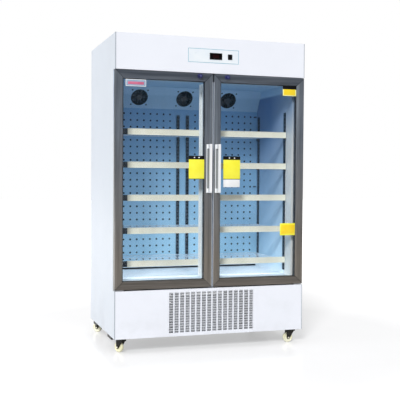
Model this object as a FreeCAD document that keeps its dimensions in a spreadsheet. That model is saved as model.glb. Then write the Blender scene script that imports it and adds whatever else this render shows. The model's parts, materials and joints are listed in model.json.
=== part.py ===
import FreeCAD, Part
import math
import os
import Sketcher

# Two-door laboratory refrigerator on four swivel casters.
# The doors face -Y, +X is to the right of someone facing them and +Z is up.
# The origin lies on the floor under the centre of the whole refrigerator, handles included.
# Lengths are in millimetres and angles in degrees.

document = FreeCAD.newDocument("LaboratoryRefrigerator")
sheet = document.addObject("Spreadsheet::Sheet", "Dims")

# Driving dimensions. Depths are measured from the front face of the doors
# unless the name says otherwise.
SIZES = {
    # cabinet
    "body_width": 1220,
    "body_depth": 765,
    "header_height": 215,
    "wall_thickness": 57,
    "skin_sheet": 1.5,
    "liner_sheet": 1.5,
    "cover_sheet": 1.5,
    "kick_height": 286,
    "floor_thickness": 54,
    "interior_height": 1228,
    "surround_thickness": 6,
    "surround_lip": 20,
    "mullion_width": 70,
    "mullion_depth": 66,
    "rear_flange": 22,
    "rear_clearance": 0.5,
    # doors
    "door_thickness": 45,
    "door_top_cover": 29,
    "door_gap_below": 8,
    "door_gap_above": 3,
    "door_centre_gap": 8,
    "door_side_inset": 2,
    "stile_width": 48,
    "stile_face": 40,
    "bevel_depth": 8,
    "pane_thickness": 4,
    "pane_spacing": 12,
    "pane_setback": 10,
    "pane_rebate": 9,
    "spacer_width": 11,
    "gasket_depth": 10,
    "gasket_width": 20,
    "gasket_inset_hinge": 18,
    "gasket_inset_free": 8,
    "gasket_inset_top": 27,
    "gasket_inset_bottom": 8,
    "mitre_groove_width": 1.2,
    "mitre_groove_depth": 0.8,
    "mitre_groove_overrun": 1,
    # door hinges
    "hinge_edge": 12,
    "hinge_setback": 22,
    "hinge_pin_diameter": 10,
    "hinge_pin_length": 20,
    "hinge_leaf_thickness": 5,
    "hinge_leaf_width": 52,
    "hinge_leaf_height": 46,
    "pin_opening_clearance": 1,
    "running_clearance": 0.05,
    "end_clearance": 0.3,
    # door handles
    "handle_length": 296,
    "handle_rise": 74.5,
    "handle_reach": 45,
    "handle_inset": 24,
    "handle_base_width": 30,
    "handle_base_thickness": 3,
    "handle_grip_width": 16,
    "handle_grip_thickness": 9,
    "handle_arm_height": 26,
    "handle_corner_radius": 5,
    # door locks
    "lock_offset": 89,
    "lock_drop": 17,
    "lock_plug_diameter": 14,
    "lock_rim_diameter": 24,
    "lock_rim": 1.5,
    "lock_plug_recess": 0.5,
    "lock_cam_tip_width": 6,
    "lock_cam_length": 27,
    "lock_cam_width": 12,
    "lock_cam_thickness": 2,
    "keeper_clearance": 2,
    # control panel in the header
    "control_height": 104,
    "controller_offset": 14,
    "controller_width": 80,
    "controller_height": 40,
    "controller_depth": 50,
    "controller_bezel": 2,
    "controller_bezel_edge": 3,
    "switch_offset": 106,
    "switch_width": 28,
    "switch_height": 32,
    "switch_depth": 24,
    "switch_rim": 2,
    "switch_rim_width": 3,
    "switch_wall": 2,
    "switch_floor": 3,
    "rocker_tilt": 9,
    "rocker_clearance": 0.6,
    "rocker_pivot_depth": 2,
    "rocker_end_clearance": 0.6,
    "rocker_belly": 5,
    "rocker_face": 3,
    "rocker_shoulder": 2,
    # shelves and what carries them
    "shelf_levels": 5,
    "shelf_top_drop": 326,
    "shelf_foot_height": 94,
    "shelf_front_depth": 132,
    "shelf_rear_gap": 18,
    "shelf_rail": 8,
    "shelf_wire": 5,
    "shelf_wire_spacing": 52,
    "shelf_wall_clearance": 14,
    "shelf_centre_clearance": 8,
    "ticket_height": 38,
    "ticket_thickness": 6,
    "standard_width": 20,
    "standard_depth": 8,
    "standard_front_depth": 160,
    "standard_rear_gap": 40,
    "standard_centre_offset": 34,
    "standard_foot": 26,
    "standard_head": 40,
    "clip_width": 12,
    "clip_height": 16,
    "clip_thickness": 3,
    # air duct, fans and evaporator
    "duct_depth": 68,
    "duct_sheet": 1.2,
    "fan_plate_drop": 138,
    "duct_side_clearance": 1,
    "duct_slot": 12,
    "fan_plate_tilt": 30,
    "fan_spacing": 316,
    "fan_frame": 120,
    "fan_thickness": 25,
    "fan_bore": 114,
    "fan_plate_bore": 116,
    "fan_hub_diameter": 40,
    "fan_boss": 30,
    "fan_boss_depth": 6,
    "fan_strut_width": 6,
    "fan_strut_depth": 3,
    "fan_strut_overlap": 1,
    "fan_tip_clearance": 4,
    "fan_blades": 5,
    "fan_blade_angle": 36,
    "fan_blade_root_chord": 18,
    "fan_blade_tip_chord": 28,
    "fan_blade_sweep": 2,
    "fan_blade_thickness": 2,
    "fan_blade_root": 3,
    "fan_shaft_diameter": 5,
    "coil_width": 900,
    "coil_height": 300,
    "coil_depth": 50,
    "coil_drop": 90,
    "coil_slot_depth": 30,
    "coil_fin": 16,
    "coil_gap": 65,
    # interior lamp
    "lamp_width": 22,
    "lamp_height": 11,
    "lamp_rear_height": 4,
    "lamp_end_clearance": 57,
    # kick panel grille
    "grille_columns": 16,
    "grille_rows": 16,
    "grille_spacing": 34.8,
    "grille_slot": 25.5,
    "grille_bottom": 22,
    "grille_height": 246,
    "louvre_depth": 12,
    "louvre_thickness": 2,
    "louvre_rail": 8,
    # chassis and machine compartment
    "chassis_height": 20,
    "chassis_sheet": 2,
    "chassis_clearance": 0.5,
    "chassis_post": 25,
    "rear_vent_rows": 6,
    "rear_vent_spacing": 28,
    "rear_vent_slot": 10,
    "rear_vent_length": 320,
    "rear_vent_spread": 400,
    "rear_vent_foot": 30,
    "gland_across_flats": 22,
    "gland_length": 8,
    "gland_edge_distance": 30,
    "compressor_diameter": 150,
    "compressor_height": 185,
    "compressor_dome": 32,
    "compressor_dome_diameter": 84,
    "compressor_side_distance": 250,
    "compressor_depth": 470,
    "compressor_foot": 190,
    "compressor_foot_thickness": 5,
    "condenser_width": 420,
    "condenser_height": 215,
    "condenser_depth": 66,
    "condenser_setback": 80,
    "condenser_slot_depth": 45,
    "condenser_fin": 12,
    "condenser_gap": 28,
    "condenser_fan_diameter": 188,
    "condenser_fan_clearance": 4,
    "condenser_fan_hub": 60,
    "condenser_fan_blades": 5,
    "condenser_fan_root_chord": 26,
    "condenser_fan_tip_chord": 34,
    "condenser_shaft_diameter": 8,
    "condenser_shaft_length": 20,
    "shroud_depth": 28,
    "shroud_sheet": 2,
    "motor_width": 70,
    "motor_length": 55,
    "motor_arm": 14,
    # casters
    "caster_height": 90,
    "caster_inset": 55,
    "caster_plate": 90,
    "caster_plate_thickness": 3,
    "caster_race_diameter": 46,
    "caster_race_height": 7,
    "caster_kingpin_diameter": 10,
    "caster_crown_height": 8,
    "caster_crown_length": 62,
    "caster_crown_taper": 12,
    "caster_trail": 20,
    "caster_wheel_diameter": 65,
    "caster_wheel_width": 22,
    "caster_axle_diameter": 8,
    "caster_axle_head": 13,
    "caster_axle_head_height": 4,
    "caster_leg_thickness": 3,
    "caster_leg_width": 20,
    "caster_leg_corner": 5,
    "caster_side_clearance": 1,
    "caster_heading_front_left": 122,
    "caster_heading_front_right": 180,
    "caster_heading_rear_left": 140,
    "caster_heading_rear_right": 75,
}


def fill_sheet():
    """Write each driving dimension and its alias into the sheet."""
    for row, (alias, size) in enumerate(SIZES.items(), start=1):
        sheet.set(f"A{row}", alias)
        sheet.set(f"B{row}", str(size))
        sheet.setAlias(f"B{row}", alias)
    document.recompute()


# Places worked out from the driving dimensions.
SIDE = "(Dims.body_width / 2)"
INSIDE = f"({SIDE} - Dims.wall_thickness)"
FRONT = "((Dims.handle_reach - Dims.body_depth) / 2)"
DOOR_BACK = f"({FRONT} + Dims.door_thickness)"
CARCASS = f"({DOOR_BACK} + Dims.gasket_depth)"
BACK = f"({FRONT} + Dims.body_depth)"
LINER_BACK = f"({BACK} - Dims.wall_thickness)"
DUCT = f"({LINER_BACK} - Dims.duct_depth)"
UNDERSIDE = "Dims.caster_height"
KICK_TOP = f"({UNDERSIDE} + Dims.kick_height)"
FLOOR = f"({KICK_TOP} + Dims.floor_thickness)"
CEILING = f"({FLOOR} + Dims.interior_height)"
DOOR_LOW = f"({KICK_TOP} + Dims.door_gap_below)"
DOOR_HIGH = f"({CEILING} + Dims.door_top_cover)"
HEADER_LOW = f"({DOOR_HIGH} + Dims.door_gap_above)"
TOP = f"({HEADER_LOW} + Dims.header_height)"
SURROUND_TOP = f"({CEILING} - Dims.surround_lip)"
FAN_PLATE_LOW = f"({CEILING} - Dims.fan_plate_drop)"
COMPARTMENT_TOP = f"({KICK_TOP} - Dims.chassis_sheet)"
INSIDE_SKIN = f"({SIDE} - Dims.skin_sheet)"
PANE_PACK = "(2 * Dims.pane_thickness + Dims.pane_spacing)"
CONTROL_LEVEL = f"({HEADER_LOW} + Dims.control_height)"

# Two places nearer than this are one and the same.
TOLERANCE = 0.01


def number(expression):
    """The present value of an expression over the sheet."""
    return float(sheet.evalExpression(str(expression)))


# Sketches and features

def role_plane(body, role):
    """One of a body's own origin planes or axes."""
    return next(item for item in body.Origin.OriginFeatures if item.Role == role)


def new_body(label, x="0", y="0", z="0"):
    """An empty body, named for its file, with its placement tied to the sheet."""
    body = document.addObject("PartDesign::Body", label)
    body.Label = label
    for axis, place in zip("xyz", (x, y, z)):
        if place != "0":
            body.setExpression(f".Placement.Base.{axis}", place)
    return body


def new_sketch(body, plane, offset):
    """A sketch on one of the body's origin planes, moved along +X, +Y or +Z by offset."""
    sketch = body.newObject("Sketcher::SketchObject", f"{body.Name}_sketch")
    sketch.AttachmentSupport = (role_plane(body, f"{plane}_Plane"), [""])
    sketch.MapMode = "FlatFace"
    sign = "-1" if plane == "XZ" else "1"
    sketch.setExpression(".AttachmentOffset.Base.z", f"{sign} * ({offset})")
    return sketch


def tie(sketch, kind, geometry, point, expression):
    """Hold one point's distance from the sketch origin at an expression."""
    index = sketch.addConstraint(
        Sketcher.Constraint(kind, -1, 1, geometry, point, number(expression)))
    sketch.setExpression(f"Constraints[{index}]", expression)


def add_outline(sketch, points):
    """A closed outline of straight lines through points given as pairs of expressions."""
    first = sketch.GeometryCount
    corners = [FreeCAD.Vector(number(across), number(up), 0) for across, up in points]
    count = len(points)
    for step in range(count):
        line = Part.LineSegment(corners[step], corners[(step + 1) % count])
        sketch.addGeometry(line)
    for step in range(count):
        following = first + (step + 1) % count
        sketch.addConstraint(Sketcher.Constraint("Coincident", first + step, 2, following, 1))
    for step, (across, up) in enumerate(points):
        tie(sketch, "DistanceX", first + step, 1, across)
        tie(sketch, "DistanceY", first + step, 1, up)


def add_circle(sketch, across, up, diameter):
    """A circle with its centre and diameter tied to expressions."""
    centre = FreeCAD.Vector(number(across), number(up), 0)
    circle = Part.Circle(centre, FreeCAD.Vector(0, 0, 1), number(diameter) / 2)
    geometry = sketch.addGeometry(circle)
    tie(sketch, "DistanceX", geometry, 3, across)
    tie(sketch, "DistanceY", geometry, 3, up)
    index = sketch.addConstraint(Sketcher.Constraint("Diameter", geometry, number(diameter)))
    sketch.setExpression(f"Constraints[{index}]", diameter)


def rectangle(left, low, right, high):
    """The corners of an upright rectangle."""
    return [(left, low), (right, low), (right, high), (left, high)]


def ring(left, low, right, high, wall):
    """The outer and inner outlines of a rectangular frame."""
    inner = rectangle(f"{left} + {wall}", f"{low} + {wall}", f"{right} - {wall}",
                      f"{high} - {wall}")
    return [rectangle(left, low, right, high), inner]


def hexagon(across, up, flats):
    """The corners of a hexagon, from its width across the flats."""
    side = f"({flats} / 2)"
    tip = f"({side} / cos(30))"
    return [
        (across, f"{up} + {tip}"), (f"{across} - {side}", f"{up} + {tip} / 2"),
        (f"{across} - {side}", f"{up} - {tip} / 2"), (across, f"{up} - {tip}"),
        (f"{across} + {side}", f"{up} - {tip} / 2"), (f"{across} + {side}", f"{up} + {tip} / 2"),
    ]


def fill_sketch(sketch, outlines, circles):
    for points in outlines:
        add_outline(sketch, points)
    for across, up, diameter in circles:
        add_circle(sketch, across, up, diameter)


def pad(body, plane, start, length, outlines=(), circles=()):
    """Add material from start, towards +X, +Y or +Z."""
    sketch = new_sketch(body, plane, start)
    fill_sketch(sketch, outlines, circles)
    feature = body.newObject("PartDesign::Pad", f"{body.Name}_pad")
    feature.Profile = sketch
    feature.Reversed = plane == "XZ"
    feature.setExpression("Length", length)
    body.Tip = feature
    return feature


def pocket(body, plane, start, length, outlines=(), circles=()):
    """Take material away from start, towards +X, +Y or +Z."""
    sketch = new_sketch(body, plane, start)
    fill_sketch(sketch, outlines, circles)
    feature = body.newObject("PartDesign::Pocket", f"{body.Name}_pocket")
    feature.Profile = sketch
    feature.Reversed = plane != "XZ"
    feature.setExpression("Length", length)
    body.Tip = feature
    return feature


def revolve(body, plane, axis, outlines):
    """Turn outlines once round one of the body's own axes."""
    sketch = new_sketch(body, plane, "0")
    fill_sketch(sketch, outlines, ())
    feature = body.newObject("PartDesign::Revolution", f"{body.Name}_revolution")
    feature.Profile = sketch
    feature.ReferenceAxis = (role_plane(body, f"{axis}_Axis"), [""])
    feature.Angle = 360
    body.Tip = feature
    return feature


def repeat(body, feature, axis, count, pitch):
    """Repeat a feature along one of the body's own axes."""
    pattern = body.newObject("PartDesign::LinearPattern", f"{body.Name}_row")
    pattern.Originals = [feature]
    pattern.Direction = (role_plane(body, f"{axis}_Axis"), [""])
    pattern.setExpression("Length", f"({count} - 1) * {pitch}")
    pattern.setExpression("Occurrences", count)
    body.Tip = pattern
    return pattern


def repeat_round(body, features, axis, count):
    """Repeat features evenly round one of the body's own axes."""
    pattern = body.newObject("PartDesign::PolarPattern", f"{body.Name}_circle")
    pattern.Originals = features
    pattern.Axis = (role_plane(body, f"{axis}_Axis"), [""])
    pattern.Angle = 360
    pattern.setExpression("Occurrences", count)
    body.Tip = pattern
    return pattern


def slab(name, x_range, y_range, z_range):
    """A rectangular block between pairs of expressions."""
    block = document.addObject("Part::Box", name)
    block.Label = name
    sides = zip(("Length", "Width", "Height"), "xyz", (x_range, y_range, z_range))
    for size, axis, (low, high) in sides:
        block.setExpression(size, f"{high} - {low}")
        block.setExpression(f".Placement.Base.{axis}", low)
    return block


def group(label, members):
    """Separate solids that share one file."""
    compound = document.addObject("Part::Compound", label)
    compound.Label = label
    compound.Links = members
    return compound


def mirrored(side, place):
    """A place given for the right-hand side, on the side asked for: -1 is left, 1 is right."""
    return f"({side} * {place})"


SIDES = {"left": -1, "right": 1}


# Cabinet

def side_panel(name, side):
    """Outer side sheet, stepped back where the door lies, with a return along the rear edge."""
    body = new_body(f"side_panel_{name}")
    outline = [
        (FRONT, UNDERSIDE), (BACK, UNDERSIDE), (BACK, TOP), (FRONT, TOP),
        (FRONT, HEADER_LOW), (CARCASS, HEADER_LOW), (CARCASS, KICK_TOP), (FRONT, KICK_TOP),
    ]
    start = INSIDE_SKIN if side > 0 else f"-{SIDE}"
    pad(body, "YZ", start, "Dims.skin_sheet", [outline])
    flange = rectangle(mirrored(side, INSIDE_SKIN), UNDERSIDE,
                       mirrored(side, f"({INSIDE_SKIN} - Dims.rear_flange)"), TOP)
    pad(body, "XY", UNDERSIDE, f"{TOP} - {UNDERSIDE}",
        [rectangle(flange[0][0], f"{BACK} - Dims.skin_sheet", flange[1][0], BACK)])
    return body


def top_panel():
    """Folded top sheet between the side panels, with a downturned rear edge."""
    body = new_body("top_panel")
    outline = [
        (FRONT, f"{TOP} - Dims.skin_sheet"),
        (f"{BACK} - 2 * Dims.skin_sheet", f"{TOP} - Dims.skin_sheet"),
        (f"{BACK} - 2 * Dims.skin_sheet", f"{TOP} - Dims.rear_flange"),
        (f"{BACK} - Dims.skin_sheet", f"{TOP} - Dims.rear_flange"),
        (f"{BACK} - Dims.skin_sheet", TOP),
        (FRONT, TOP),
    ]
    pad(body, "YZ", f"-{INSIDE_SKIN}", f"2 * {INSIDE_SKIN}", [outline])
    return body


def rear_panel():
    """Flat rear sheet behind the foam, from the machine compartment to the top."""
    body = new_body("rear_panel")
    edge = f"({INSIDE_SKIN} - Dims.rear_flange - Dims.rear_clearance)"
    low = f"({COMPARTMENT_TOP} - Dims.rear_flange)"
    pad(body, "XZ", f"{BACK} - Dims.skin_sheet", "Dims.skin_sheet",
        [rectangle(f"-{edge}", low, edge, f"{TOP} - Dims.rear_flange + Dims.skin_sheet")])
    return body


def rear_vent_cover():
    """Lower rear cover with two banks of air slots and a gland for the supply lead."""
    body = new_body("rear_vent_cover")
    edge = f"({INSIDE_SKIN} - Dims.rear_flange - Dims.rear_clearance)"
    low = f"({UNDERSIDE} + Dims.chassis_height + Dims.rear_clearance)"
    high = f"({COMPARTMENT_TOP} - Dims.rear_flange - Dims.rear_clearance)"
    face = f"({BACK} - Dims.skin_sheet)"
    pad(body, "XZ", face, "Dims.skin_sheet", [rectangle(f"-{edge}", low, edge, high)])
    gland = (f"({edge} - Dims.gland_edge_distance)", f"({low} + Dims.gland_edge_distance)")
    pad(body, "XZ", f"{face} - Dims.gland_length", "Dims.gland_length",
        [hexagon(*gland, "Dims.gland_across_flats")])
    first = f"({low} + Dims.rear_vent_foot)"
    slots = []
    for side in (-1, 1):
        centre = f"{side} * Dims.rear_vent_spread / 2"
        slots.append(rectangle(f"{centre} - Dims.rear_vent_length / 2", first,
                               f"{centre} + Dims.rear_vent_length / 2",
                               f"{first} + Dims.rear_vent_slot"))
    cut = pocket(body, "XZ", face, "Dims.skin_sheet", slots)
    repeat(body, cut, "Z", "Dims.rear_vent_rows", "Dims.rear_vent_spacing")
    return body


def foam_walls():
    """Foam behind the liner: two sides, floor, ceiling and back."""
    foam_front = f"({CARCASS} + Dims.surround_thickness)"
    foam_back = f"({BACK} - Dims.skin_sheet)"
    liner_outside = f"({INSIDE} + Dims.liner_sheet)"
    low = f"({KICK_TOP})"
    floor_top = f"({FLOOR} - Dims.liner_sheet)"
    ceiling_low = f"({CEILING} + Dims.liner_sheet)"
    ceiling_top = f"({HEADER_LOW} + Dims.wall_thickness)"
    sides = [
        slab(f"foam_{name}",
             (f"-{INSIDE_SKIN}", f"-{liner_outside}") if side < 0
             else (liner_outside, INSIDE_SKIN),
             (foam_front, f"({foam_back} - Dims.skin_sheet)"), (low, ceiling_top))
        for name, side in SIDES.items()
    ]
    across = (f"-{liner_outside}", liner_outside)
    liner_behind = f"({LINER_BACK} + Dims.liner_sheet)"
    rest = [
        slab("foam_floor", across, (foam_front, liner_behind), (low, floor_top)),
        slab("foam_ceiling", across, (foam_front, liner_behind), (ceiling_low, ceiling_top)),
        slab("foam_back", across, (liner_behind, foam_back), (low, ceiling_top)),
    ]
    return group("wall_insulation", sides + rest)


def inner_liner():
    """Painted inner sheets: two sides, floor, ceiling and back, butted at the corners."""
    front = f"({CARCASS} + Dims.surround_thickness)"
    outside = f"({INSIDE} + Dims.liner_sheet)"
    behind = f"({LINER_BACK} + Dims.liner_sheet)"
    below = f"({FLOOR} - Dims.liner_sheet)"
    above = f"({CEILING} + Dims.liner_sheet)"
    across = (f"-{INSIDE}", INSIDE)
    sheets = [
        slab("liner_left", (f"-{outside}", f"-{INSIDE}"), (front, behind), (below, above)),
        slab("liner_right", (INSIDE, outside), (front, behind), (below, above)),
        slab("liner_floor", across, (front, behind), (below, FLOOR)),
        slab("liner_ceiling", across, (front, behind), (CEILING, above)),
        slab("liner_back", across, (LINER_BACK, behind), (FLOOR, CEILING)),
    ]
    return group("inner_liner", sheets)


def front_surround():
    """Frame round the cabinet mouth that the door gaskets close against."""
    body = new_body("front_surround")
    outer = rectangle(f"-{INSIDE_SKIN}", KICK_TOP, INSIDE_SKIN,
                      f"{HEADER_LOW} + Dims.wall_thickness")
    mouth = rectangle(f"-{INSIDE}", FLOOR, INSIDE, SURROUND_TOP)
    pad(body, "XZ", CARCASS, "Dims.surround_thickness", [outer, mouth])
    return body


def centre_mullion():
    """Box-section post between the doors, bolted to the floor and the surround's head."""
    body = new_body("centre_mullion")
    half = "(Dims.mullion_width / 2)"
    section = ring(f"-{half}", CARCASS, half, f"{CARCASS} + Dims.mullion_depth",
                   "Dims.cover_sheet")
    pad(body, "XY", FLOOR, f"{SURROUND_TOP} - {FLOOR}", section)
    return body


# Shelves

SHELF_TOP = f"({CEILING} - Dims.shelf_top_drop)"
SHELF_SPACING = (
    f"(({SHELF_TOP} - {FLOOR} - Dims.shelf_foot_height) / (Dims.shelf_levels - 1))")


def shelf_level(level):
    """Height of the middle of a shelf's wires above the floor; level 0 is the top shelf."""
    return f"({SHELF_TOP} - {level} * {SHELF_SPACING})"


SHELF_FRONT = f"({FRONT} + Dims.shelf_front_depth)"
SHELF_BACK = f"({DUCT} - Dims.shelf_rear_gap)"
SHELF_DEPTH = f"({SHELF_BACK} - {SHELF_FRONT})"
SHELF_OUTER = f"({INSIDE} - Dims.shelf_wall_clearance)"
SHELF_WIDTH = f"({SHELF_OUTER} - Dims.shelf_centre_clearance)"


def wire_shelf(name, side, level):
    """Open rack: a frame of rails with wires that run from front to back."""
    left = f"-{SHELF_OUTER}" if side < 0 else "Dims.shelf_centre_clearance"
    low = f"({shelf_level(level)} - Dims.shelf_wire / 2)"
    body = new_body(f"shelf_{name}_{level + 1}", left, SHELF_FRONT, low)
    pad(body, "XY", "0", "Dims.shelf_wire",
        [rectangle("0", "0", SHELF_WIDTH, SHELF_DEPTH)])
    bay = rectangle("Dims.shelf_wire", "Dims.shelf_rail", "Dims.shelf_wire_spacing",
                    f"{SHELF_DEPTH} - Dims.shelf_rail")
    cut = pocket(body, "XY", "0", "Dims.shelf_wire", [bay])
    count = f"floor(({SHELF_WIDTH} - Dims.shelf_wire) / Dims.shelf_wire_spacing)"
    repeat(body, cut, "X", count, "Dims.shelf_wire_spacing")
    return body


def ticket_strips():
    """Label holders clipped along the front rail of each shelf."""
    strips = []
    for level in range(int(number("Dims.shelf_levels"))):
        middle = shelf_level(level)
        height = (f"({middle} - Dims.ticket_height / 2)", f"({middle} + Dims.ticket_height / 2)")
        depth = (f"({SHELF_FRONT} - Dims.ticket_thickness)", SHELF_FRONT)
        for name, side in SIDES.items():
            outer = mirrored(side, SHELF_OUTER)
            centre = mirrored(side, "Dims.shelf_centre_clearance")
            across = (outer, centre) if side < 0 else (centre, outer)
            strips.append(slab(f"ticket_strip_{name}_{level + 1}", across, depth, height))
    return group("ticket_strips", strips)


STANDARD_FRONT = f"({FRONT} + Dims.standard_front_depth)"
STANDARD_REAR = f"({DUCT} - Dims.standard_rear_gap)"
STANDARD_LOW = f"({FLOOR} + Dims.standard_foot)"
STANDARD_HIGH = f"({FAN_PLATE_LOW} - Dims.standard_head)"
CENTRE_STANDARD_FRONT = f"({CARCASS} + Dims.mullion_depth)"


def shelf_standards():
    """Uprights that carry the shelf clips: two on each wall, four about the centre line."""
    height = (STANDARD_LOW, STANDARD_HIGH)
    half = "Dims.standard_width / 2"
    posts = []
    for name, side in SIDES.items():
        wall = mirrored(side, INSIDE)
        face = mirrored(side, f"({INSIDE} - Dims.standard_depth)")
        across = (wall, face) if side < 0 else (face, wall)
        for place, depth in (("front", STANDARD_FRONT), ("rear", STANDARD_REAR)):
            posts.append(slab(f"standard_{name}_{place}", across,
                              (f"({depth} - {half})", f"({depth} + {half})"), height))
        centre = mirrored(side, "Dims.standard_centre_offset")
        posts.append(slab(f"standard_{name}_centre", (f"({centre} - {half})", f"({centre} + {half})"),
                          (f"({DUCT} - Dims.standard_depth)", DUCT), height))
    return group("shelf_standards", posts)


def shelf_clips():
    """Hooks under the ends of every shelf, on the wall and centre standards."""
    clips = []
    under = "(Dims.shelf_wire / 2)"
    for level in range(int(number("Dims.shelf_levels"))):
        top = f"({shelf_level(level)} - {under})"
        height = (f"({top} - Dims.clip_height)", top)
        for name, side in SIDES.items():
            wall = mirrored(side, f"({INSIDE} - Dims.standard_depth)")
            reach = mirrored(side, f"({INSIDE} - Dims.standard_depth - Dims.clip_width)")
            across = (wall, reach) if side < 0 else (reach, wall)
            for place, depth in (("front", STANDARD_FRONT), ("rear", STANDARD_REAR)):
                half = "Dims.clip_thickness / 2"
                clips.append(slab(f"clip_{name}_{place}_{level + 1}", across,
                                  (f"({depth} - {half})", f"({depth} + {half})"), height))
            centre = mirrored(side, "Dims.standard_centre_offset")
            half = "Dims.clip_thickness / 2"
            clips.append(slab(f"clip_{name}_centre_{level + 1}",
                              (f"({centre} - {half})", f"({centre} + {half})"),
                              (f"({SHELF_BACK} - Dims.clip_width)",
                               f"({DUCT} - Dims.standard_depth)"), height))
    return group("shelf_clips", clips)


# Air duct and evaporator fans

PLATE_RISE = f"({CEILING} - {FAN_PLATE_LOW})"
PLATE_RUN = f"({PLATE_RISE} * tan(Dims.fan_plate_tilt))"
PLATE_SLOPE = f"({PLATE_RISE} / cos(Dims.fan_plate_tilt))"
PLATE_MIDDLE_Y = f"({DUCT} - {PLATE_RUN} / 2)"
PLATE_MIDDLE_Z = f"(({CEILING} + {FAN_PLATE_LOW}) / 2)"


def lean(body):
    """Turn a body so that its +Z leaves the sloping fan plate's face and +Y climbs it."""
    body.Placement.Rotation = FreeCAD.Rotation(FreeCAD.Vector(1, 0, 0), 90)
    body.setExpression(".Placement.Rotation.Angle", "90 + Dims.fan_plate_tilt")


def fan_place(index):
    """Distance of a fan's axis from the centre line; index runs from 0 at the left."""
    return f"(({index} - 1) * Dims.fan_spacing)"


def duct_panel():
    """Upright panel in front of the evaporator, open to the duct below and at its sides."""
    edge = f"({INSIDE} - Dims.duct_side_clearance)"
    body = new_body("duct_panel")
    pad(body, "XZ", DUCT, "Dims.duct_sheet",
        [rectangle(f"-{edge}", f"{FLOOR} + Dims.duct_slot", edge, FAN_PLATE_LOW)])
    for side in (-1, 1):
        inner = mirrored(side, f"({edge} - Dims.duct_sheet)")
        outer = mirrored(side, edge)
        pad(body, "XZ", DUCT, "Dims.duct_depth",
            [rectangle(outer, f"{FLOOR}", inner, FAN_PLATE_LOW)])
    return body


def fan_plate():
    """Sloping plate under the ceiling with three round openings for the fans."""
    body = new_body("fan_plate", "0", PLATE_MIDDLE_Y, PLATE_MIDDLE_Z)
    lean(body)
    edge = f"({INSIDE} - Dims.duct_side_clearance)"
    half = f"({PLATE_SLOPE} / 2)"
    # The upper rear edge of the sheet just meets the ceiling.
    trim = "(Dims.duct_sheet * tan(Dims.fan_plate_tilt))"
    pad(body, "XY", "-1 * Dims.duct_sheet", "Dims.duct_sheet",
        [rectangle(f"-{edge}", f"-{half}", edge, f"{half} - {trim}")],
        [(fan_place(index), "0", "Dims.fan_plate_bore") for index in range(3)])
    return body


def fan_housing(index):
    """Square axial fan frame with a round bore, four struts and a motor seat."""
    body = new_body(f"fan_housing_{index + 1}", fan_place(index), PLATE_MIDDLE_Y, PLATE_MIDDLE_Z)
    lean(body)
    half = "(Dims.fan_frame / 2)"
    back = "(-1 * Dims.duct_sheet - Dims.fan_thickness)"
    pad(body, "XY", back, "Dims.fan_thickness", [rectangle(f"-{half}", f"-{half}", half, half)],
        [("0", "0", "Dims.fan_bore")])
    reach = "(Dims.fan_bore / 2 + Dims.fan_strut_overlap)"
    width = "(Dims.fan_strut_width / 2)"
    pad(body, "XY", back, "Dims.fan_strut_depth",
        [rectangle(f"-{reach}", f"-{width}", reach, width)])
    pad(body, "XY", back, "Dims.fan_strut_depth",
        [rectangle(f"-{width}", f"-{reach}", width, reach)])
    boss = "(Dims.fan_boss / 2)"
    pad(body, "XY", back, "Dims.fan_boss_depth", [rectangle(f"-{boss}", f"-{boss}", boss, boss)])
    pocket(body, "XY", back, "Dims.fan_boss_depth",
           circles=[("0", "0", "Dims.fan_shaft_diameter + 2 * Dims.running_clearance")])
    return body


def add_blades(body, hub, tip, root_chord, tip_chord, middle, count):
    """Pitched blades round a body's Z axis, swept forward and wider at the tip."""
    sketch = new_sketch(body, "XY", middle)
    offset = sketch.AttachmentOffset
    offset.Rotation = FreeCAD.Rotation(FreeCAD.Vector(1, 0, 0), 1)
    sketch.AttachmentOffset = offset
    sketch.setExpression(".AttachmentOffset.Rotation.Angle", "Dims.fan_blade_angle")
    root = f"({hub} / 2 - Dims.fan_blade_root)"
    end = f"({tip} / 2)"
    sweep = "Dims.fan_blade_sweep"
    add_outline(sketch, [
        (root, f"-{root_chord} / 2"), (end, f"-{tip_chord} / 2 + {sweep}"),
        (end, f"{tip_chord} / 2 + {sweep}"), (root, f"{root_chord} / 2"),
    ])
    blade = body.newObject("PartDesign::Pad", f"{body.Name}_blade")
    blade.Profile = sketch
    blade.Midplane = True
    blade.setExpression("Length", "Dims.fan_blade_thickness")
    body.Tip = blade
    repeat_round(body, [blade], "Z", count)


def fan_rotor(index):
    """Evaporator fan wheel: a round hub, its blades and a short shaft."""
    body = new_body(f"fan_rotor_{index + 1}", fan_place(index), PLATE_MIDDLE_Y, PLATE_MIDDLE_Z)
    lean(body)
    front = "(-1 * Dims.duct_sheet - Dims.end_clearance)"
    back = "(-1 * Dims.duct_sheet - Dims.fan_thickness)"
    hub_back = f"({back} + Dims.fan_boss_depth + Dims.end_clearance)"
    pad(body, "XY", hub_back, f"{front} - {hub_back}",
        circles=[("0", "0", "Dims.fan_hub_diameter")])
    tip = "(Dims.fan_bore - 2 * Dims.fan_tip_clearance)"
    middle = f"(({front} + {hub_back}) / 2)"
    add_blades(body, "Dims.fan_hub_diameter", tip, "Dims.fan_blade_root_chord",
               "Dims.fan_blade_tip_chord", middle, "Dims.fan_blades")
    pad(body, "XY", back, f"{hub_back} - {back}", circles=[("0", "0", "Dims.fan_shaft_diameter")])
    return body


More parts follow.
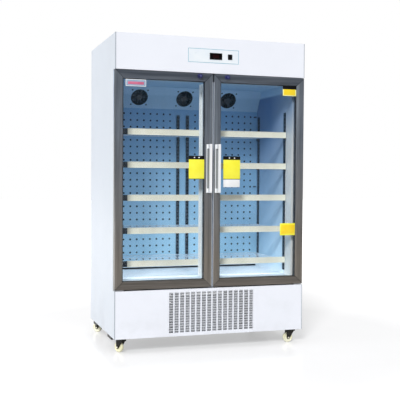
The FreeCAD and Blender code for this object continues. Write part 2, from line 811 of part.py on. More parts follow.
def evaporator_coil():
    """Finned coil that hangs in the duct behind the panel, with its tube bends at both ends."""
    half = "(Dims.coil_width / 2)"
    high = f"({FAN_PLATE_LOW} - Dims.coil_drop)"
    low = f"({high} - Dims.coil_height)"
    behind = LINER_BACK
    front = f"({behind} - Dims.coil_depth)"
    body = new_body("evaporator_coil")
    pad(body, "XZ", front, "Dims.coil_depth", [rectangle(f"-{half}", low, half, high)])
    cut = pocket(body, "XZ", front, "Dims.coil_slot_depth",
                 [rectangle(f"-{half} + Dims.coil_fin", f"{low} + Dims.coil_fin",
                            f"-{half} + Dims.coil_fin + Dims.coil_gap",
                            f"{high} - Dims.coil_fin")])
    pitch = "(Dims.coil_fin + Dims.coil_gap)"
    repeat(body, cut, "X", f"floor((Dims.coil_width - Dims.coil_fin) / {pitch})", pitch)
    return body


def interior_lamp():
    """Slim lamp under the ceiling, hidden from the front by the surround's lip."""
    body = new_body("interior_lamp")
    front = f"({CARCASS} + Dims.surround_thickness)"
    outline = [
        (front, CEILING), (front, f"{CEILING} - Dims.lamp_height"),
        (f"{front} + Dims.lamp_width / 2", f"{CEILING} - Dims.lamp_height"),
        (f"{front} + Dims.lamp_width", f"{CEILING} - Dims.lamp_rear_height"),
        (f"{front} + Dims.lamp_width", CEILING),
    ]
    half = f"({INSIDE} - Dims.lamp_end_clearance)"
    pad(body, "YZ", f"-{half}", f"2 * {half}", [outline])
    return body


# Header, kick panel and grille

def cover_shell(body, low, high, closed_below):
    """Box cover open to the rear, and underneath as well unless it is closed below."""
    half = INSIDE_SKIN
    wall = "Dims.cover_sheet"
    pad(body, "XZ", FRONT, f"{CARCASS} - {FRONT}", [rectangle(f"-{half}", low, half, high)])
    floor = f"{low} + {wall}" if closed_below else low
    pocket(body, "XZ", f"{FRONT} + {wall}", f"{CARCASS} - {FRONT} - {wall}",
           [rectangle(f"-{half} + {wall}", floor, f"{half} - {wall}", f"{high} - {wall}")])


def hinge_x(side):
    """The door hinge's place across the cabinet."""
    return mirrored(side, f"({SIDE} - Dims.door_side_inset - Dims.hinge_edge)")


HINGE_Y = f"({FRONT} + Dims.hinge_setback)"
LOCK_LEVEL = f"({DOOR_HIGH} - Dims.lock_drop)"


def lock_x(side):
    return mirrored(side, "Dims.lock_offset")


def header_panel():
    """Folded header cover with openings for the controller, switch, hinge pins and lock cams."""
    body = new_body("header_panel")
    high = f"({TOP} - Dims.skin_sheet)"
    cover_shell(body, HEADER_LOW, high, True)
    windows = []
    for offset, width, height, rim in (
            ("Dims.controller_offset", "Dims.controller_width", "Dims.controller_height",
             "Dims.controller_bezel_edge"),
            ("Dims.switch_offset", "Dims.switch_width", "Dims.switch_height",
             "Dims.switch_rim_width")):
        windows.append(rectangle(
            f"{offset} - {width} / 2 + {rim}", f"{CONTROL_LEVEL} - {height} / 2 + {rim}",
            f"{offset} + {width} / 2 - {rim}", f"{CONTROL_LEVEL} + {height} / 2 - {rim}"))
    pocket(body, "XZ", FRONT, "Dims.cover_sheet", windows)
    punched = []
    pin = "(Dims.hinge_pin_diameter / 2 + Dims.pin_opening_clearance)"
    reach = "(Dims.lock_cam_length + Dims.keeper_clearance)"
    for side in (-1, 1):
        punched.append(rectangle(f"{hinge_x(side)} - {pin}", f"{HINGE_Y} - {pin}",
                                 f"{hinge_x(side)} + {pin}", f"{HINGE_Y} + {pin}"))
        punched.append(rectangle(
            f"{lock_x(side)} - {reach}", f"{DOOR_BACK} + Dims.end_clearance - Dims.keeper_clearance",
            f"{lock_x(side)} + {reach}",
            f"{DOOR_BACK} + Dims.end_clearance + Dims.lock_cam_thickness + Dims.keeper_clearance"))
    pocket(body, "XY", HEADER_LOW, "Dims.cover_sheet", punched)
    return body


def kick_panel():
    """Folded lower cover with a row of tall air slots."""
    body = new_body("kick_panel")
    cover_shell(body, UNDERSIDE, KICK_TOP, False)
    first = "(-1 * ((Dims.grille_columns - 1) * Dims.grille_spacing + Dims.grille_slot) / 2)"
    low = f"({UNDERSIDE} + Dims.grille_bottom)"
    cut = pocket(body, "XZ", FRONT, "Dims.cover_sheet",
                 [rectangle(first, low, f"{first} + Dims.grille_slot",
                            f"{low} + Dims.grille_height")])
    repeat(body, cut, "X", "Dims.grille_columns", "Dims.grille_spacing")
    return body


def grille_louvres():
    """Sloping blades behind the air slots, held between two end rails."""
    half = "(((Dims.grille_columns - 1) * Dims.grille_spacing + Dims.grille_slot) / 2)"
    face = f"({FRONT} + Dims.cover_sheet)"
    body = new_body("grille_louvres", "0", face, f"{UNDERSIDE} + Dims.grille_bottom")
    row = "(Dims.grille_height / Dims.grille_rows)"
    thick = "Dims.louvre_thickness"
    blade = [
        ("0", f"{row} - {thick}"), ("Dims.louvre_depth", f"{row} - {thick} - Dims.louvre_depth"),
        ("Dims.louvre_depth", f"{row} - Dims.louvre_depth"), ("0", row),
    ]
    first = pad(body, "YZ", f"-{half}", f"2 * {half}", [blade])
    repeat(body, first, "Z", "Dims.grille_rows", row)
    for side in (-1, 1):
        inner = mirrored(side, half)
        outer = mirrored(side, f"({half} + Dims.louvre_rail)")
        pad(body, "XY", f"{row} - {thick} - Dims.louvre_depth",
            f"Dims.grille_height - {row} + {thick} + Dims.louvre_depth",
            [rectangle(inner, "0", outer, "Dims.louvre_depth")])
    return body


def control_unit():
    """Temperature controller and the switch's case, both pushed into the header's openings."""
    controller = new_body("temperature_controller", "Dims.controller_offset", FRONT, CONTROL_LEVEL)
    half = "(Dims.controller_width / 2)"
    tall = "(Dims.controller_height / 2)"
    pad(controller, "XZ", "-1 * Dims.controller_bezel", "Dims.controller_bezel",
        [rectangle(f"-{half}", f"-{tall}", half, tall)])
    edge = "(Dims.controller_bezel_edge + Dims.end_clearance)"
    pad(controller, "XZ", "0", "Dims.controller_depth",
        [rectangle(f"-{half} + {edge}", f"-{tall} + {edge}", f"{half} - {edge}",
                   f"{tall} - {edge}")])
    case = new_body("switch_case", "Dims.switch_offset", FRONT, CONTROL_LEVEL)
    half = "(Dims.switch_width / 2)"
    tall = "(Dims.switch_height / 2)"
    pad(case, "XZ", "-1 * Dims.switch_rim", "Dims.switch_rim",
        [rectangle(f"-{half}", f"-{tall}", half, tall)])
    edge = "(Dims.switch_rim_width + Dims.end_clearance)"
    pad(case, "XZ", "0", "Dims.switch_depth",
        [rectangle(f"-{half} + {edge}", f"-{tall} + {edge}", f"{half} - {edge}",
                   f"{tall} - {edge}")])
    well = f"({edge} + Dims.switch_wall)"
    pocket(case, "XZ", "-1 * Dims.switch_rim",
           "Dims.switch_rim + Dims.switch_depth - Dims.switch_floor",
           [rectangle(f"-{half} + {well}", f"-{tall} + {well}", f"{half} - {well}",
                      f"{tall} - {well}")])
    return group("control_unit", [controller, case])


def switch_rocker():
    """Rocker that tips in the switch's case; it is modelled with its upper half out."""
    body = new_body("switch_rocker", "Dims.switch_offset", f"{FRONT} + Dims.rocker_pivot_depth",
                    CONTROL_LEVEL)
    body.Placement.Rotation = FreeCAD.Rotation(FreeCAD.Vector(1, 0, 0), 1)
    body.setExpression(".Placement.Rotation.Angle", "Dims.rocker_tilt")
    edge = "(Dims.switch_rim_width + Dims.end_clearance + Dims.switch_wall)"
    half = f"(Dims.switch_width / 2 - {edge} - Dims.rocker_clearance)"
    tall = f"(Dims.switch_height / 2 - {edge} - Dims.rocker_clearance - Dims.rocker_end_clearance)"
    peak = f"(-1 * Dims.rocker_face - {tall} * tan(Dims.rocker_tilt))"
    short = f"({tall} - Dims.rocker_shoulder)"
    outline = [
        ("Dims.rocker_belly", f"-{short}"), ("Dims.rocker_belly", short),
        ("-1 * Dims.rocker_shoulder", tall), (peak, tall), ("-1 * Dims.rocker_face", "0"),
        (peak, f"-{tall}"), ("-1 * Dims.rocker_shoulder", f"-{tall}"),
    ]
    pad(body, "YZ", f"-{half}", f"2 * {half}", [outline])
    return body


# Doors

DOOR_OUTER = f"({SIDE} - Dims.door_side_inset)"
DOOR_INNER = "(Dims.door_centre_gap / 2)"


def inset_rectangle(side, outer, inner, low, high):
    """A rectangle on a door's face, set in from its hinge edge, free edge, bottom and top."""
    left = mirrored(side, f"({DOOR_OUTER} - {outer})")
    right = mirrored(side, f"({DOOR_INNER} + {inner})")
    if side > 0:
        left, right = right, left
    return rectangle(left, f"{DOOR_LOW} + {low}", right, f"{DOOR_HIGH} - {high}")


def even_inset(side, inset):
    return inset_rectangle(side, inset, inset, inset, inset)


def mitre_line(across, up, toward_x, toward_z):
    """A thin groove outline along a corner's mitre, from the outer corner to the glass."""
    wide = "Dims.mitre_groove_width"
    reach = "(Dims.stile_width + Dims.mitre_groove_overrun)"
    return [
        (f"{across}", f"{up}"),
        (f"{across} + {toward_x} * {wide}", f"{up}"),
        (f"{across} + {toward_x} * ({reach} + {wide})", f"{up} + {toward_z} * {reach}"),
        (f"{across} + {toward_x} * {reach}", f"{up} + {toward_z} * {reach}"),
    ]


def door_frame(name, side):
    """Stainless frame: four mitred rails with a sloping inner edge and a groove for the glass."""
    body = new_body(f"door_{name}_frame")
    pad(body, "XZ", FRONT, "Dims.door_thickness",
        [even_inset(side, "0"), even_inset(side, "Dims.stile_width")])
    outer = new_sketch(body, "XZ", FRONT)
    add_outline(outer, even_inset(side, "Dims.stile_face"))
    inner = new_sketch(body, "XZ", f"{FRONT} + Dims.bevel_depth")
    add_outline(inner, even_inset(side, "Dims.stile_width"))
    bevel = body.newObject("PartDesign::SubtractiveLoft", f"{body.Name}_bevel")
    bevel.Profile = outer
    bevel.Sections = [inner]
    bevel.Ruled = True
    body.Tip = bevel
    pocket(body, "XZ", f"{FRONT} + Dims.pane_setback", PANE_PACK,
           [even_inset(side, "(Dims.stile_width - Dims.pane_rebate)")])
    corners = []
    for across, toward_x in ((mirrored(side, DOOR_OUTER), -side), (mirrored(side, DOOR_INNER), side)):
        corners.append(mitre_line(across, DOOR_LOW, toward_x, 1))
        corners.append(mitre_line(across, DOOR_HIGH, toward_x, -1))
    pocket(body, "XZ", FRONT, "Dims.mitre_groove_depth", corners)
    socket = "Dims.hinge_pin_diameter + 2 * Dims.running_clearance"
    for low, depth in ((DOOR_LOW, "Dims.hinge_pin_length"),
                       (f"({DOOR_HIGH} - Dims.hinge_pin_length)", "Dims.hinge_pin_length")):
        pocket(body, "XY", low, depth, circles=[(hinge_x(side), HINGE_Y, socket)])
    pad(body, "XZ", f"{FRONT} - Dims.lock_rim", "Dims.lock_rim",
        circles=[(lock_x(side), LOCK_LEVEL, "Dims.lock_rim_diameter")])
    pocket(body, "XZ", f"{FRONT} - Dims.lock_rim", "Dims.lock_rim + Dims.door_thickness",
           circles=[(lock_x(side), LOCK_LEVEL,
                     "Dims.lock_plug_diameter + 2 * Dims.running_clearance")])
    return body


def lock_plug(name, side):
    """Key plug that runs through the door rail and carries the locking cam behind it."""
    body = new_body(f"lock_plug_{name}", lock_x(side), FRONT, LOCK_LEVEL)
    face = "(Dims.lock_plug_recess - Dims.lock_rim)"
    behind = "(Dims.door_thickness + Dims.end_clearance)"
    pad(body, "XZ", face, f"{behind} - {face}", circles=[("0", "0", "Dims.lock_plug_diameter")])
    half = "(Dims.lock_cam_width / 2)"
    blunt = "(Dims.lock_cam_tip_width / 2)"
    tip = mirrored(side, "Dims.lock_cam_length")
    heel = mirrored(side, f"(-1 * {half})")
    shoulder = mirrored(side, f"(Dims.lock_cam_length - {half})")
    pad(body, "XZ", behind, "Dims.lock_cam_thickness",
        [[(heel, f"-{half}"), (shoulder, f"-{half}"), (tip, f"-{blunt}"), (tip, blunt),
          (shoulder, half), (heel, half)]])
    return body


def door_glass(name, side):
    """Sealed double glazing: an outer and an inner pane."""
    inset = "(Dims.stile_width - Dims.pane_rebate + Dims.end_clearance)"
    across = even_inset(side, inset)
    x_range = (f"({across[0][0]})", f"({across[1][0]})")
    z_range = (f"({across[0][1]})", f"({across[2][1]})")
    near = f"({FRONT} + Dims.pane_setback)"
    far = f"({near} + Dims.pane_thickness + Dims.pane_spacing)"
    panes = [
        slab(f"pane_outer_{name}", x_range, (near, f"({near} + Dims.pane_thickness)"), z_range),
        slab(f"pane_inner_{name}", x_range, (far, f"({far} + Dims.pane_thickness)"), z_range),
    ]
    return group(f"door_{name}_glass", panes)


def door_seals(name, side):
    """Black seals: the gasket behind the frame and the spacer between the panes."""
    gasket = new_body(f"door_gasket_{name}")
    insets = ["Dims.gasket_inset_hinge", "Dims.gasket_inset_free",
              "Dims.gasket_inset_bottom", "Dims.gasket_inset_top"]
    inner = [f"({inset} + Dims.gasket_width)" for inset in insets]
    pad(gasket, "XZ", DOOR_BACK, "Dims.gasket_depth",
        [inset_rectangle(side, *insets), inset_rectangle(side, *inner)])
    spacer = new_body(f"pane_spacer_{name}")
    inset = "(Dims.stile_width - Dims.pane_rebate + Dims.end_clearance)"
    pad(spacer, "XZ", f"{FRONT} + Dims.pane_setback + Dims.pane_thickness", "Dims.pane_spacing",
        [even_inset(side, inset), even_inset(side, f"({inset} + Dims.spacer_width)")])
    return group(f"door_{name}_seals", [gasket, spacer])


def door_handle(name, side):
    """Pull handle: a base plate, two arms and a straight grip, with rounded corners."""
    centre = mirrored(side, f"({DOOR_INNER} + Dims.handle_inset)")
    level = f"({DOOR_LOW} + {DOOR_HIGH}) / 2 + Dims.handle_rise"
    body = new_body(f"door_{name}_handle", centre, FRONT, level)
    half = "(Dims.handle_length / 2)"
    wide = "(Dims.handle_base_width / 2)"
    base = "Dims.handle_base_thickness"
    pad(body, "XZ", f"-1 * {base}", base, [rectangle(f"-{wide}", f"-{half}", wide, half)])
    grip = "(Dims.handle_grip_width / 2)"
    reach = "Dims.handle_reach"
    inside = f"({half} - Dims.handle_arm_height)"
    profile = [
        (f"-1 * {base}", f"-{half}"), (f"-1 * {base}", f"-{inside}"),
        (f"-1 * {reach} + Dims.handle_grip_thickness", f"-{inside}"),
        (f"-1 * {reach} + Dims.handle_grip_thickness", inside),
        (f"-1 * {base}", inside), (f"-1 * {base}", half), (f"-1 * {reach}", half),
        (f"-1 * {reach}", f"-{half}"),
    ]
    pad(body, "YZ", f"-{grip}", f"2 * {grip}", [profile])
    document.recompute()
    squared = body.Tip
    names = []
    for index, edge in enumerate(squared.Shape.Edges, start=1):
        middle = edge.CenterOfMass
        at_front = abs(middle.y + number(reach)) < TOLERANCE
        at_end = abs(abs(middle.z) - number(half)) < TOLERANCE
        if at_front and at_end:
            names.append(f"Edge{index}")
    fillet = body.newObject("PartDesign::Fillet", f"{body.Name}_round")
    fillet.Base = (squared, names)
    fillet.setExpression("Radius", "Dims.handle_corner_radius")
    body.Tip = fillet
    return body


def hinge_brackets():
    """Door brackets at the outer corners, each with a pin that the door turns on."""
    brackets = []
    for name, side in SIDES.items():
        edge = mirrored(side, f"({INSIDE_SKIN} - Dims.cover_sheet - Dims.end_clearance)")
        inner = mirrored(side, f"({INSIDE_SKIN} - Dims.cover_sheet - Dims.hinge_leaf_width)")
        near = f"({FRONT} + Dims.bevel_depth)"
        thick = "Dims.hinge_leaf_thickness"
        for place, low, leaf_low, pin_low, pin_high in (
                ("lower", KICK_TOP, f"({KICK_TOP} - Dims.cover_sheet - Dims.hinge_leaf_height)",
                 KICK_TOP, f"({DOOR_LOW} + Dims.hinge_pin_length - Dims.end_clearance)"),
                ("upper", f"({HEADER_LOW} + Dims.cover_sheet)", f"({HEADER_LOW} + Dims.cover_sheet)",
                 f"({DOOR_HIGH} - Dims.hinge_pin_length + Dims.end_clearance)",
                 f"({HEADER_LOW} + Dims.cover_sheet)")):
            body = new_body(f"hinge_{name}_{place}")
            pad(body, "XY", low, thick, [rectangle(edge, near, inner, CARCASS)])
            pad(body, "XY", pin_low, f"{pin_high} - {pin_low}",
                circles=[(hinge_x(side), HINGE_Y, "Dims.hinge_pin_diameter")])
            brackets.append(body)
            if place == "upper":
                pad(body, "XZ", f"{CARCASS} - {thick}", thick,
                    [rectangle(edge, leaf_low, inner, f"{leaf_low} + Dims.hinge_leaf_height")])
    return group("hinge_brackets", brackets)


# Chassis and machine compartment

CHASSIS_FLOOR = f"({UNDERSIDE} + Dims.chassis_sheet)"


def base_frame():
    """Chassis: a folded tray on the casters, four posts and the deck under the foam."""
    edge = f"({INSIDE_SKIN} - Dims.cover_sheet - Dims.chassis_clearance)"
    near = f"({FRONT} + Dims.cover_sheet + Dims.chassis_clearance)"
    far = f"({BACK} - Dims.skin_sheet)"
    tray = new_body("chassis_tray")
    pad(tray, "XY", UNDERSIDE, "Dims.chassis_height", [rectangle(f"-{edge}", near, edge, far)])
    wall = "Dims.chassis_sheet"
    pocket(tray, "XY", f"{UNDERSIDE} + {wall}", "Dims.chassis_height",
           [rectangle(f"-{edge} + {wall}", f"{near} + {wall}", f"{edge} - {wall}",
                      f"{far} - {wall}")])
    members = [tray, slab("chassis_deck", (f"-{INSIDE_SKIN}", INSIDE_SKIN), (CARCASS, far),
                          (COMPARTMENT_TOP, KICK_TOP))]
    for name, side in SIDES.items():
        outer = mirrored(side, f"({edge} - {wall})")
        inner = mirrored(side, f"({edge} - {wall} - Dims.chassis_post)")
        across = (outer, inner) if side < 0 else (inner, outer)
        for place, start in (("front", CARCASS), ("rear", f"({far} - {wall} - Dims.chassis_post)")):
            members.append(slab(f"chassis_post_{place}_{name}", across,
                                (start, f"({start} + Dims.chassis_post)"),
                                (CHASSIS_FLOOR, COMPARTMENT_TOP)))
    return group("base_frame", members)


CONDENSER_FRONT = f"({FRONT} + Dims.condenser_setback)"
CONDENSER_BACK = f"({CONDENSER_FRONT} + Dims.condenser_depth)"
CONDENSER_MIDDLE = f"({CHASSIS_FLOOR} + Dims.condenser_height / 2)"


def condenser():
    """Finned block of the condenser behind the grille."""
    half = "(Dims.condenser_width / 2)"
    low = CHASSIS_FLOOR
    high = f"({low} + Dims.condenser_height)"
    body = new_body("condenser")
    pad(body, "XZ", CONDENSER_FRONT, "Dims.condenser_depth",
        [rectangle(f"-{half}", low, half, high)])
    fin = "Dims.condenser_fin"
    cut = pocket(body, "XZ", CONDENSER_FRONT, "Dims.condenser_slot_depth",
                 [rectangle(f"-{half} + {fin}", f"{low} + {fin}",
                            f"-{half} + {fin} + Dims.condenser_gap", f"{high} - {fin}")])
    pitch = "(Dims.condenser_fin + Dims.condenser_gap)"
    repeat(body, cut, "X", f"floor((Dims.condenser_width - {fin}) / {pitch})", pitch)
    return body


SHROUD_BACK = f"({CONDENSER_BACK} + Dims.shroud_depth)"


def condenser_shroud():
    """Box shroud on the condenser's rear face, with the fan motor on a bar across its bore."""
    half = "(Dims.condenser_width / 2)"
    low = CHASSIS_FLOOR
    high = f"({low} + Dims.condenser_height)"
    bore = "(Dims.condenser_fan_diameter + 2 * Dims.condenser_fan_clearance)"
    sheet_start = f"({SHROUD_BACK} - Dims.shroud_sheet)"
    body = new_body("condenser_shroud")
    pad(body, "XZ", CONDENSER_BACK, f"{sheet_start} - {CONDENSER_BACK}",
        ring(f"-{half}", low, half, high, "Dims.shroud_sheet"))
    pad(body, "XZ", sheet_start, "Dims.shroud_sheet", [rectangle(f"-{half}", low, half, high)],
        [("0", CONDENSER_MIDDLE, bore)])
    arm = "(Dims.motor_arm / 2)"
    reach = f"({half} - Dims.shroud_sheet)"
    pad(body, "XZ", SHROUD_BACK, "Dims.shroud_sheet",
        [rectangle(f"-{reach}", f"{CONDENSER_MIDDLE} - {arm}", reach,
                   f"{CONDENSER_MIDDLE} + {arm}")])
    motor = "(Dims.motor_width / 2)"
    pad(body, "XZ", SHROUD_BACK, "Dims.motor_length",
        [rectangle(f"-{motor}", f"{CONDENSER_MIDDLE} - {motor}", motor,
                   f"{CONDENSER_MIDDLE} + {motor}")])
    pocket(body, "XZ", SHROUD_BACK, "Dims.condenser_shaft_length + Dims.end_clearance",
           circles=[("0", CONDENSER_MIDDLE,
                     "Dims.condenser_shaft_diameter + 2 * Dims.running_clearance")])
    return body


def condenser_fan():
    """Condenser fan wheel on its motor shaft, turning about Y."""
    body = new_body("condenser_fan", "0", SHROUD_BACK, CONDENSER_MIDDLE)
    body.Placement.Rotation = FreeCAD.Rotation(FreeCAD.Vector(1, 0, 0), 90)
    gap = "Dims.condenser_fan_clearance"
    pad(body, "XY", gap, f"Dims.shroud_depth - 2 * {gap}",
        circles=[("0", "0", "Dims.condenser_fan_hub")])
    add_blades(body, "Dims.condenser_fan_hub", "Dims.condenser_fan_diameter",
               "Dims.condenser_fan_root_chord", "Dims.condenser_fan_tip_chord",
               "(Dims.shroud_depth / 2)", "Dims.condenser_fan_blades")
    pad(body, "XY", "-1 * Dims.condenser_shaft_length", f"Dims.condenser_shaft_length + {gap}",
        circles=[("0", "0", "Dims.condenser_shaft_diameter")])
    return body


def compressor():
    """Hermetic compressor: a shell with a narrower crown on a square foot plate."""
    body = new_body("compressor", f"{SIDE} - Dims.compressor_side_distance",
                    f"{FRONT} + Dims.compressor_depth", CHASSIS_FLOOR)
    radius = "(Dims.compressor_diameter / 2)"
    crown = "(Dims.compressor_dome_diameter / 2)"
    high = "Dims.compressor_height"
    shoulder = f"({high} - Dims.compressor_dome)"
    revolve(body, "XZ", "Z", [[
        ("0", "0"), (radius, "0"), (radius, shoulder), (crown, shoulder), (crown, high),
        ("0", high),
    ]])
    half = "(Dims.compressor_foot / 2)"
    pad(body, "XY", "0", "Dims.compressor_foot_thickness",
        [rectangle(f"-{half}", f"-{half}", half, half)])
    return body


# Casters

CORNERS = {
    "front_left": (-1, 1), "front_right": (1, 1), "rear_left": (-1, -1), "rear_right": (1, -1),
}
WHEEL_LEVEL = "(Dims.caster_wheel_diameter / 2)"
RACE_LOW = f"({UNDERSIDE} - Dims.caster_plate_thickness - Dims.caster_race_height)"
CROWN_HIGH = f"({RACE_LOW} - Dims.end_clearance)"
CROWN_LOW = f"({CROWN_HIGH} - Dims.caster_crown_height)"
FORK_INSIDE = "(Dims.caster_wheel_width / 2 + Dims.caster_side_clearance)"


def caster_x(corner):
    return mirrored(CORNERS[corner][0], f"({SIDE} - Dims.caster_inset)")


def caster_y(corner):
    if CORNERS[corner][1] > 0:
        return f"({FRONT} + Dims.caster_inset)"
    return f"({BACK} - Dims.caster_inset)"


def caster_plates():
    """Fixed upper halves of the casters: plate, ball race and kingpin."""
    plates = []
    for corner in CORNERS:
        body = new_body(f"caster_plate_{corner}", caster_x(corner), caster_y(corner))
        half = "(Dims.caster_plate / 2)"
        pad(body, "XY", f"{UNDERSIDE} - Dims.caster_plate_thickness",
            "Dims.caster_plate_thickness", [rectangle(f"-{half}", f"-{half}", half, half)])
        pad(body, "XY", RACE_LOW, "Dims.caster_race_height",
            circles=[("0", "0", "Dims.caster_race_diameter")])
        pad(body, "XY", CROWN_LOW, f"{RACE_LOW} - {CROWN_LOW}",
            circles=[("0", "0", "Dims.caster_kingpin_diameter")])
        plates.append(body)
    return group("caster_plates", plates)


def turn_to_heading(body, corner):
    """Turn a caster piece so that its +X points from the kingpin to the wheel."""
    body.Placement.Rotation = FreeCAD.Rotation(FreeCAD.Vector(0, 0, 1), 90)
    body.setExpression(".Placement.Rotation.Angle", f"Dims.caster_heading_{corner}")


def caster_fork(corner):
    """Swivelling fork: a pressed crown, two tapered legs and the wheel's axle bolt."""
    body = new_body(f"caster_fork_{corner}", caster_x(corner), caster_y(corner))
    turn_to_heading(body, corner)
    thick = "Dims.caster_leg_thickness"
    wide = f"({FORK_INSIDE} + {thick})"
    half = "(Dims.caster_crown_length / 2)"
    shoulder = f"({half} - Dims.caster_crown_taper)"
    narrow = f"({wide} - Dims.caster_crown_taper / 2)"
    pad(body, "XY", CROWN_LOW, "Dims.caster_crown_height",
        [[(f"-{half}", f"-{narrow}"), (f"-{shoulder}", f"-{wide}"), (half, f"-{wide}"),
          (half, wide), (f"-{shoulder}", wide), (f"-{half}", narrow)]],
        [("0", "0", "Dims.caster_kingpin_diameter + 2 * Dims.running_clearance")])
    foot = "(Dims.caster_leg_width / 2)"
    corner_cut = "Dims.caster_leg_corner"
    trail = "Dims.caster_trail"
    leg = [
        (f"-{shoulder}", CROWN_HIGH), (f"-{shoulder}", CROWN_LOW),
        (f"{trail} - {foot}", f"{WHEEL_LEVEL} - {foot} + {corner_cut}"),
        (f"{trail} - {foot} + {corner_cut}", f"{WHEEL_LEVEL} - {foot}"),
        (f"{trail} + {foot} - {corner_cut}", f"{WHEEL_LEVEL} - {foot}"),
        (f"{trail} + {foot}", f"{WHEEL_LEVEL} - {foot} + {corner_cut}"),
        (half, CROWN_LOW), (half, CROWN_HIGH),
    ]
    pad(body, "XZ", FORK_INSIDE, thick, [leg])
    pad(body, "XZ", f"-1 * {wide}", thick, [leg])
    pad(body, "XZ", f"-1 * {wide}", f"2 * {wide}",
        circles=[(trail, WHEEL_LEVEL, "Dims.caster_axle_diameter")])
    head = "Dims.caster_axle_head_height"
    for start in (wide, f"-1 * {wide} - {head}"):
        pad(body, "XZ", start, head, [hexagon(trail, WHEEL_LEVEL, "Dims.caster_axle_head")])
    return body


def caster_wheel(corner):
    """Solid wheel with a bore for the axle."""
    heading = f"Dims.caster_heading_{corner}"
    body = new_body(
        f"caster_wheel_{corner}", f"{caster_x(corner)} + Dims.caster_trail * cos({heading})",
        f"{caster_y(corner)} + Dims.caster_trail * sin({heading})", WHEEL_LEVEL)
    turn_to_heading(body, corner)
    bore = "(Dims.caster_axle_diameter + 2 * Dims.running_clearance)"
    pad(body, "XZ", "-1 * Dims.caster_wheel_width / 2", "Dims.caster_wheel_width",
        circles=[("0", "0", "Dims.caster_wheel_diameter"), ("0", "0", bore)])
    return body


# Assembly

def build():
    """Make every piece and return those that become files."""
    fill_sheet()
    pieces = [top_panel(), rear_panel(), rear_vent_cover(), foam_walls(), inner_liner(),
              front_surround(), centre_mullion(), shelf_standards(), ticket_strips(),
              shelf_clips(), fan_plate(), duct_panel(), evaporator_coil(), interior_lamp(),
              header_panel(), control_unit(), switch_rocker(), kick_panel(), grille_louvres(),
              base_frame(), compressor(), condenser(), condenser_shroud(), condenser_fan(),
              hinge_brackets(), caster_plates()]
    pieces.append(group("fan_housings", [fan_housing(index) for index in range(3)]))
    pieces += [fan_rotor(index) for index in range(3)]
    for name, side in SIDES.items():
        pieces.append(side_panel(name, side))
        pieces += [wire_shelf(name, side, level)
                   for level in range(int(number("Dims.shelf_levels")))]
        pieces += [door_frame(name, side), door_glass(name, side), door_seals(name, side),
                   door_handle(name, side), lock_plug(name, side)]
    for corner in CORNERS:
        pieces += [caster_fork(corner), caster_wheel(corner)]
    document.recompute()
    return pieces


def check(pieces):
    """Stop if a feature failed, a cut removed nothing or a piece is not a sound solid."""
    for item in document.Objects:
        if "Invalid" in item.State or "Error" in item.State:
            raise RuntimeError(f"{item.Name} did not build: {item.State}")
        if item.TypeId in ("PartDesign::Pocket", "PartDesign::SubtractiveLoft"):
            if item.Shape.Volume > item.BaseFeature.Shape.Volume - TOLERANCE:
                raise RuntimeError(f"{item.Name} cuts nothing")
    for piece in pieces:
        if piece.Shape.isNull() or not piece.Shape.isValid() or not piece.Shape.Solids:
            raise RuntimeError(f"{piece.Label} is not a valid solid")


def write(pieces):
    os.makedirs("parts", exist_ok=True)
    for piece in pieces:
        piece.Shape.exportStep(f"parts/{piece.Label}.step")
    print(len(pieces), "parts written")


parts = build()
check(parts)
write(parts)
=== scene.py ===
import json
import math

import bmesh
import bpy
from mathutils import Matrix, Vector


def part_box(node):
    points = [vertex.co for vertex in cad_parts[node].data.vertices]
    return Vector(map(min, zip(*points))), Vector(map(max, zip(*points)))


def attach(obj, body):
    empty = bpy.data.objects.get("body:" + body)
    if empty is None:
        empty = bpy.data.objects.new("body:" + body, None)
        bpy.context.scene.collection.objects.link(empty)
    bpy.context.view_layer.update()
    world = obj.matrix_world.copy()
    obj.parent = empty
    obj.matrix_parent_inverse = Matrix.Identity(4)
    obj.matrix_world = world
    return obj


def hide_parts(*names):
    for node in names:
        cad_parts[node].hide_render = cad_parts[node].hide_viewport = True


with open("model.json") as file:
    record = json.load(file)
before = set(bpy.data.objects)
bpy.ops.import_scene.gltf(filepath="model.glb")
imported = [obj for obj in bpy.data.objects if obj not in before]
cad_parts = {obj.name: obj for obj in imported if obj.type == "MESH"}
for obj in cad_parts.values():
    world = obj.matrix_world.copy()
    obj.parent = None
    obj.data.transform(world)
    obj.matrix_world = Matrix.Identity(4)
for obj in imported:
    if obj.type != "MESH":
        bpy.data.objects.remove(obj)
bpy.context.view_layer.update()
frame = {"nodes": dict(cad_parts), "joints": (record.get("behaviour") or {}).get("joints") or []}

# Looks of the two-door laboratory refrigerator. Lengths are in metres, in the part's own frame:
# the doors face -Y and the floor is at Z = 0.

MM = 0.001
nodes = frame["nodes"]


def low(node):
    """Lowest corner of a construction node at rest."""
    return Vector(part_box(node)[0])


def high(node):
    """Highest corner of a construction node at rest."""
    return Vector(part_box(node)[1])


def joint(name):
    """A joint's place and the unit vector along its axis."""
    found = next(item for item in frame["joints"] if item["name"] == name)
    return Vector(found["pos_m"]), Vector(found["axis"]).normalized()


# Places read from the construction

PANE_FACE = low("door_left_glass").y
HEADER_FACE = low("header_panel").y
DUCT_FACE = low("duct_panel").y
STRIP_FACE = low("ticket_strips").y
LINER_LOW, LINER_HIGH = low("inner_liner"), high("inner_liner")
DOOR_LOW, DOOR_HIGH = low("door_left_frame"), high("door_left_frame")
DOOR_FACE = high("door_right_handle").y  # front plane of the doors, where the handles stand
HANDLE_MIDDLE = (low("door_right_handle") + high("door_right_handle")) / 2
SIDE_FRONT = low("side_panel_left").y
COVER_EDGE = high("header_panel").x

SIDES = {"left": -1, "right": 1}
LEVELS = range(1, 6)
CORNERS = ("front_left", "front_right", "rear_left", "rear_right")


# Camera

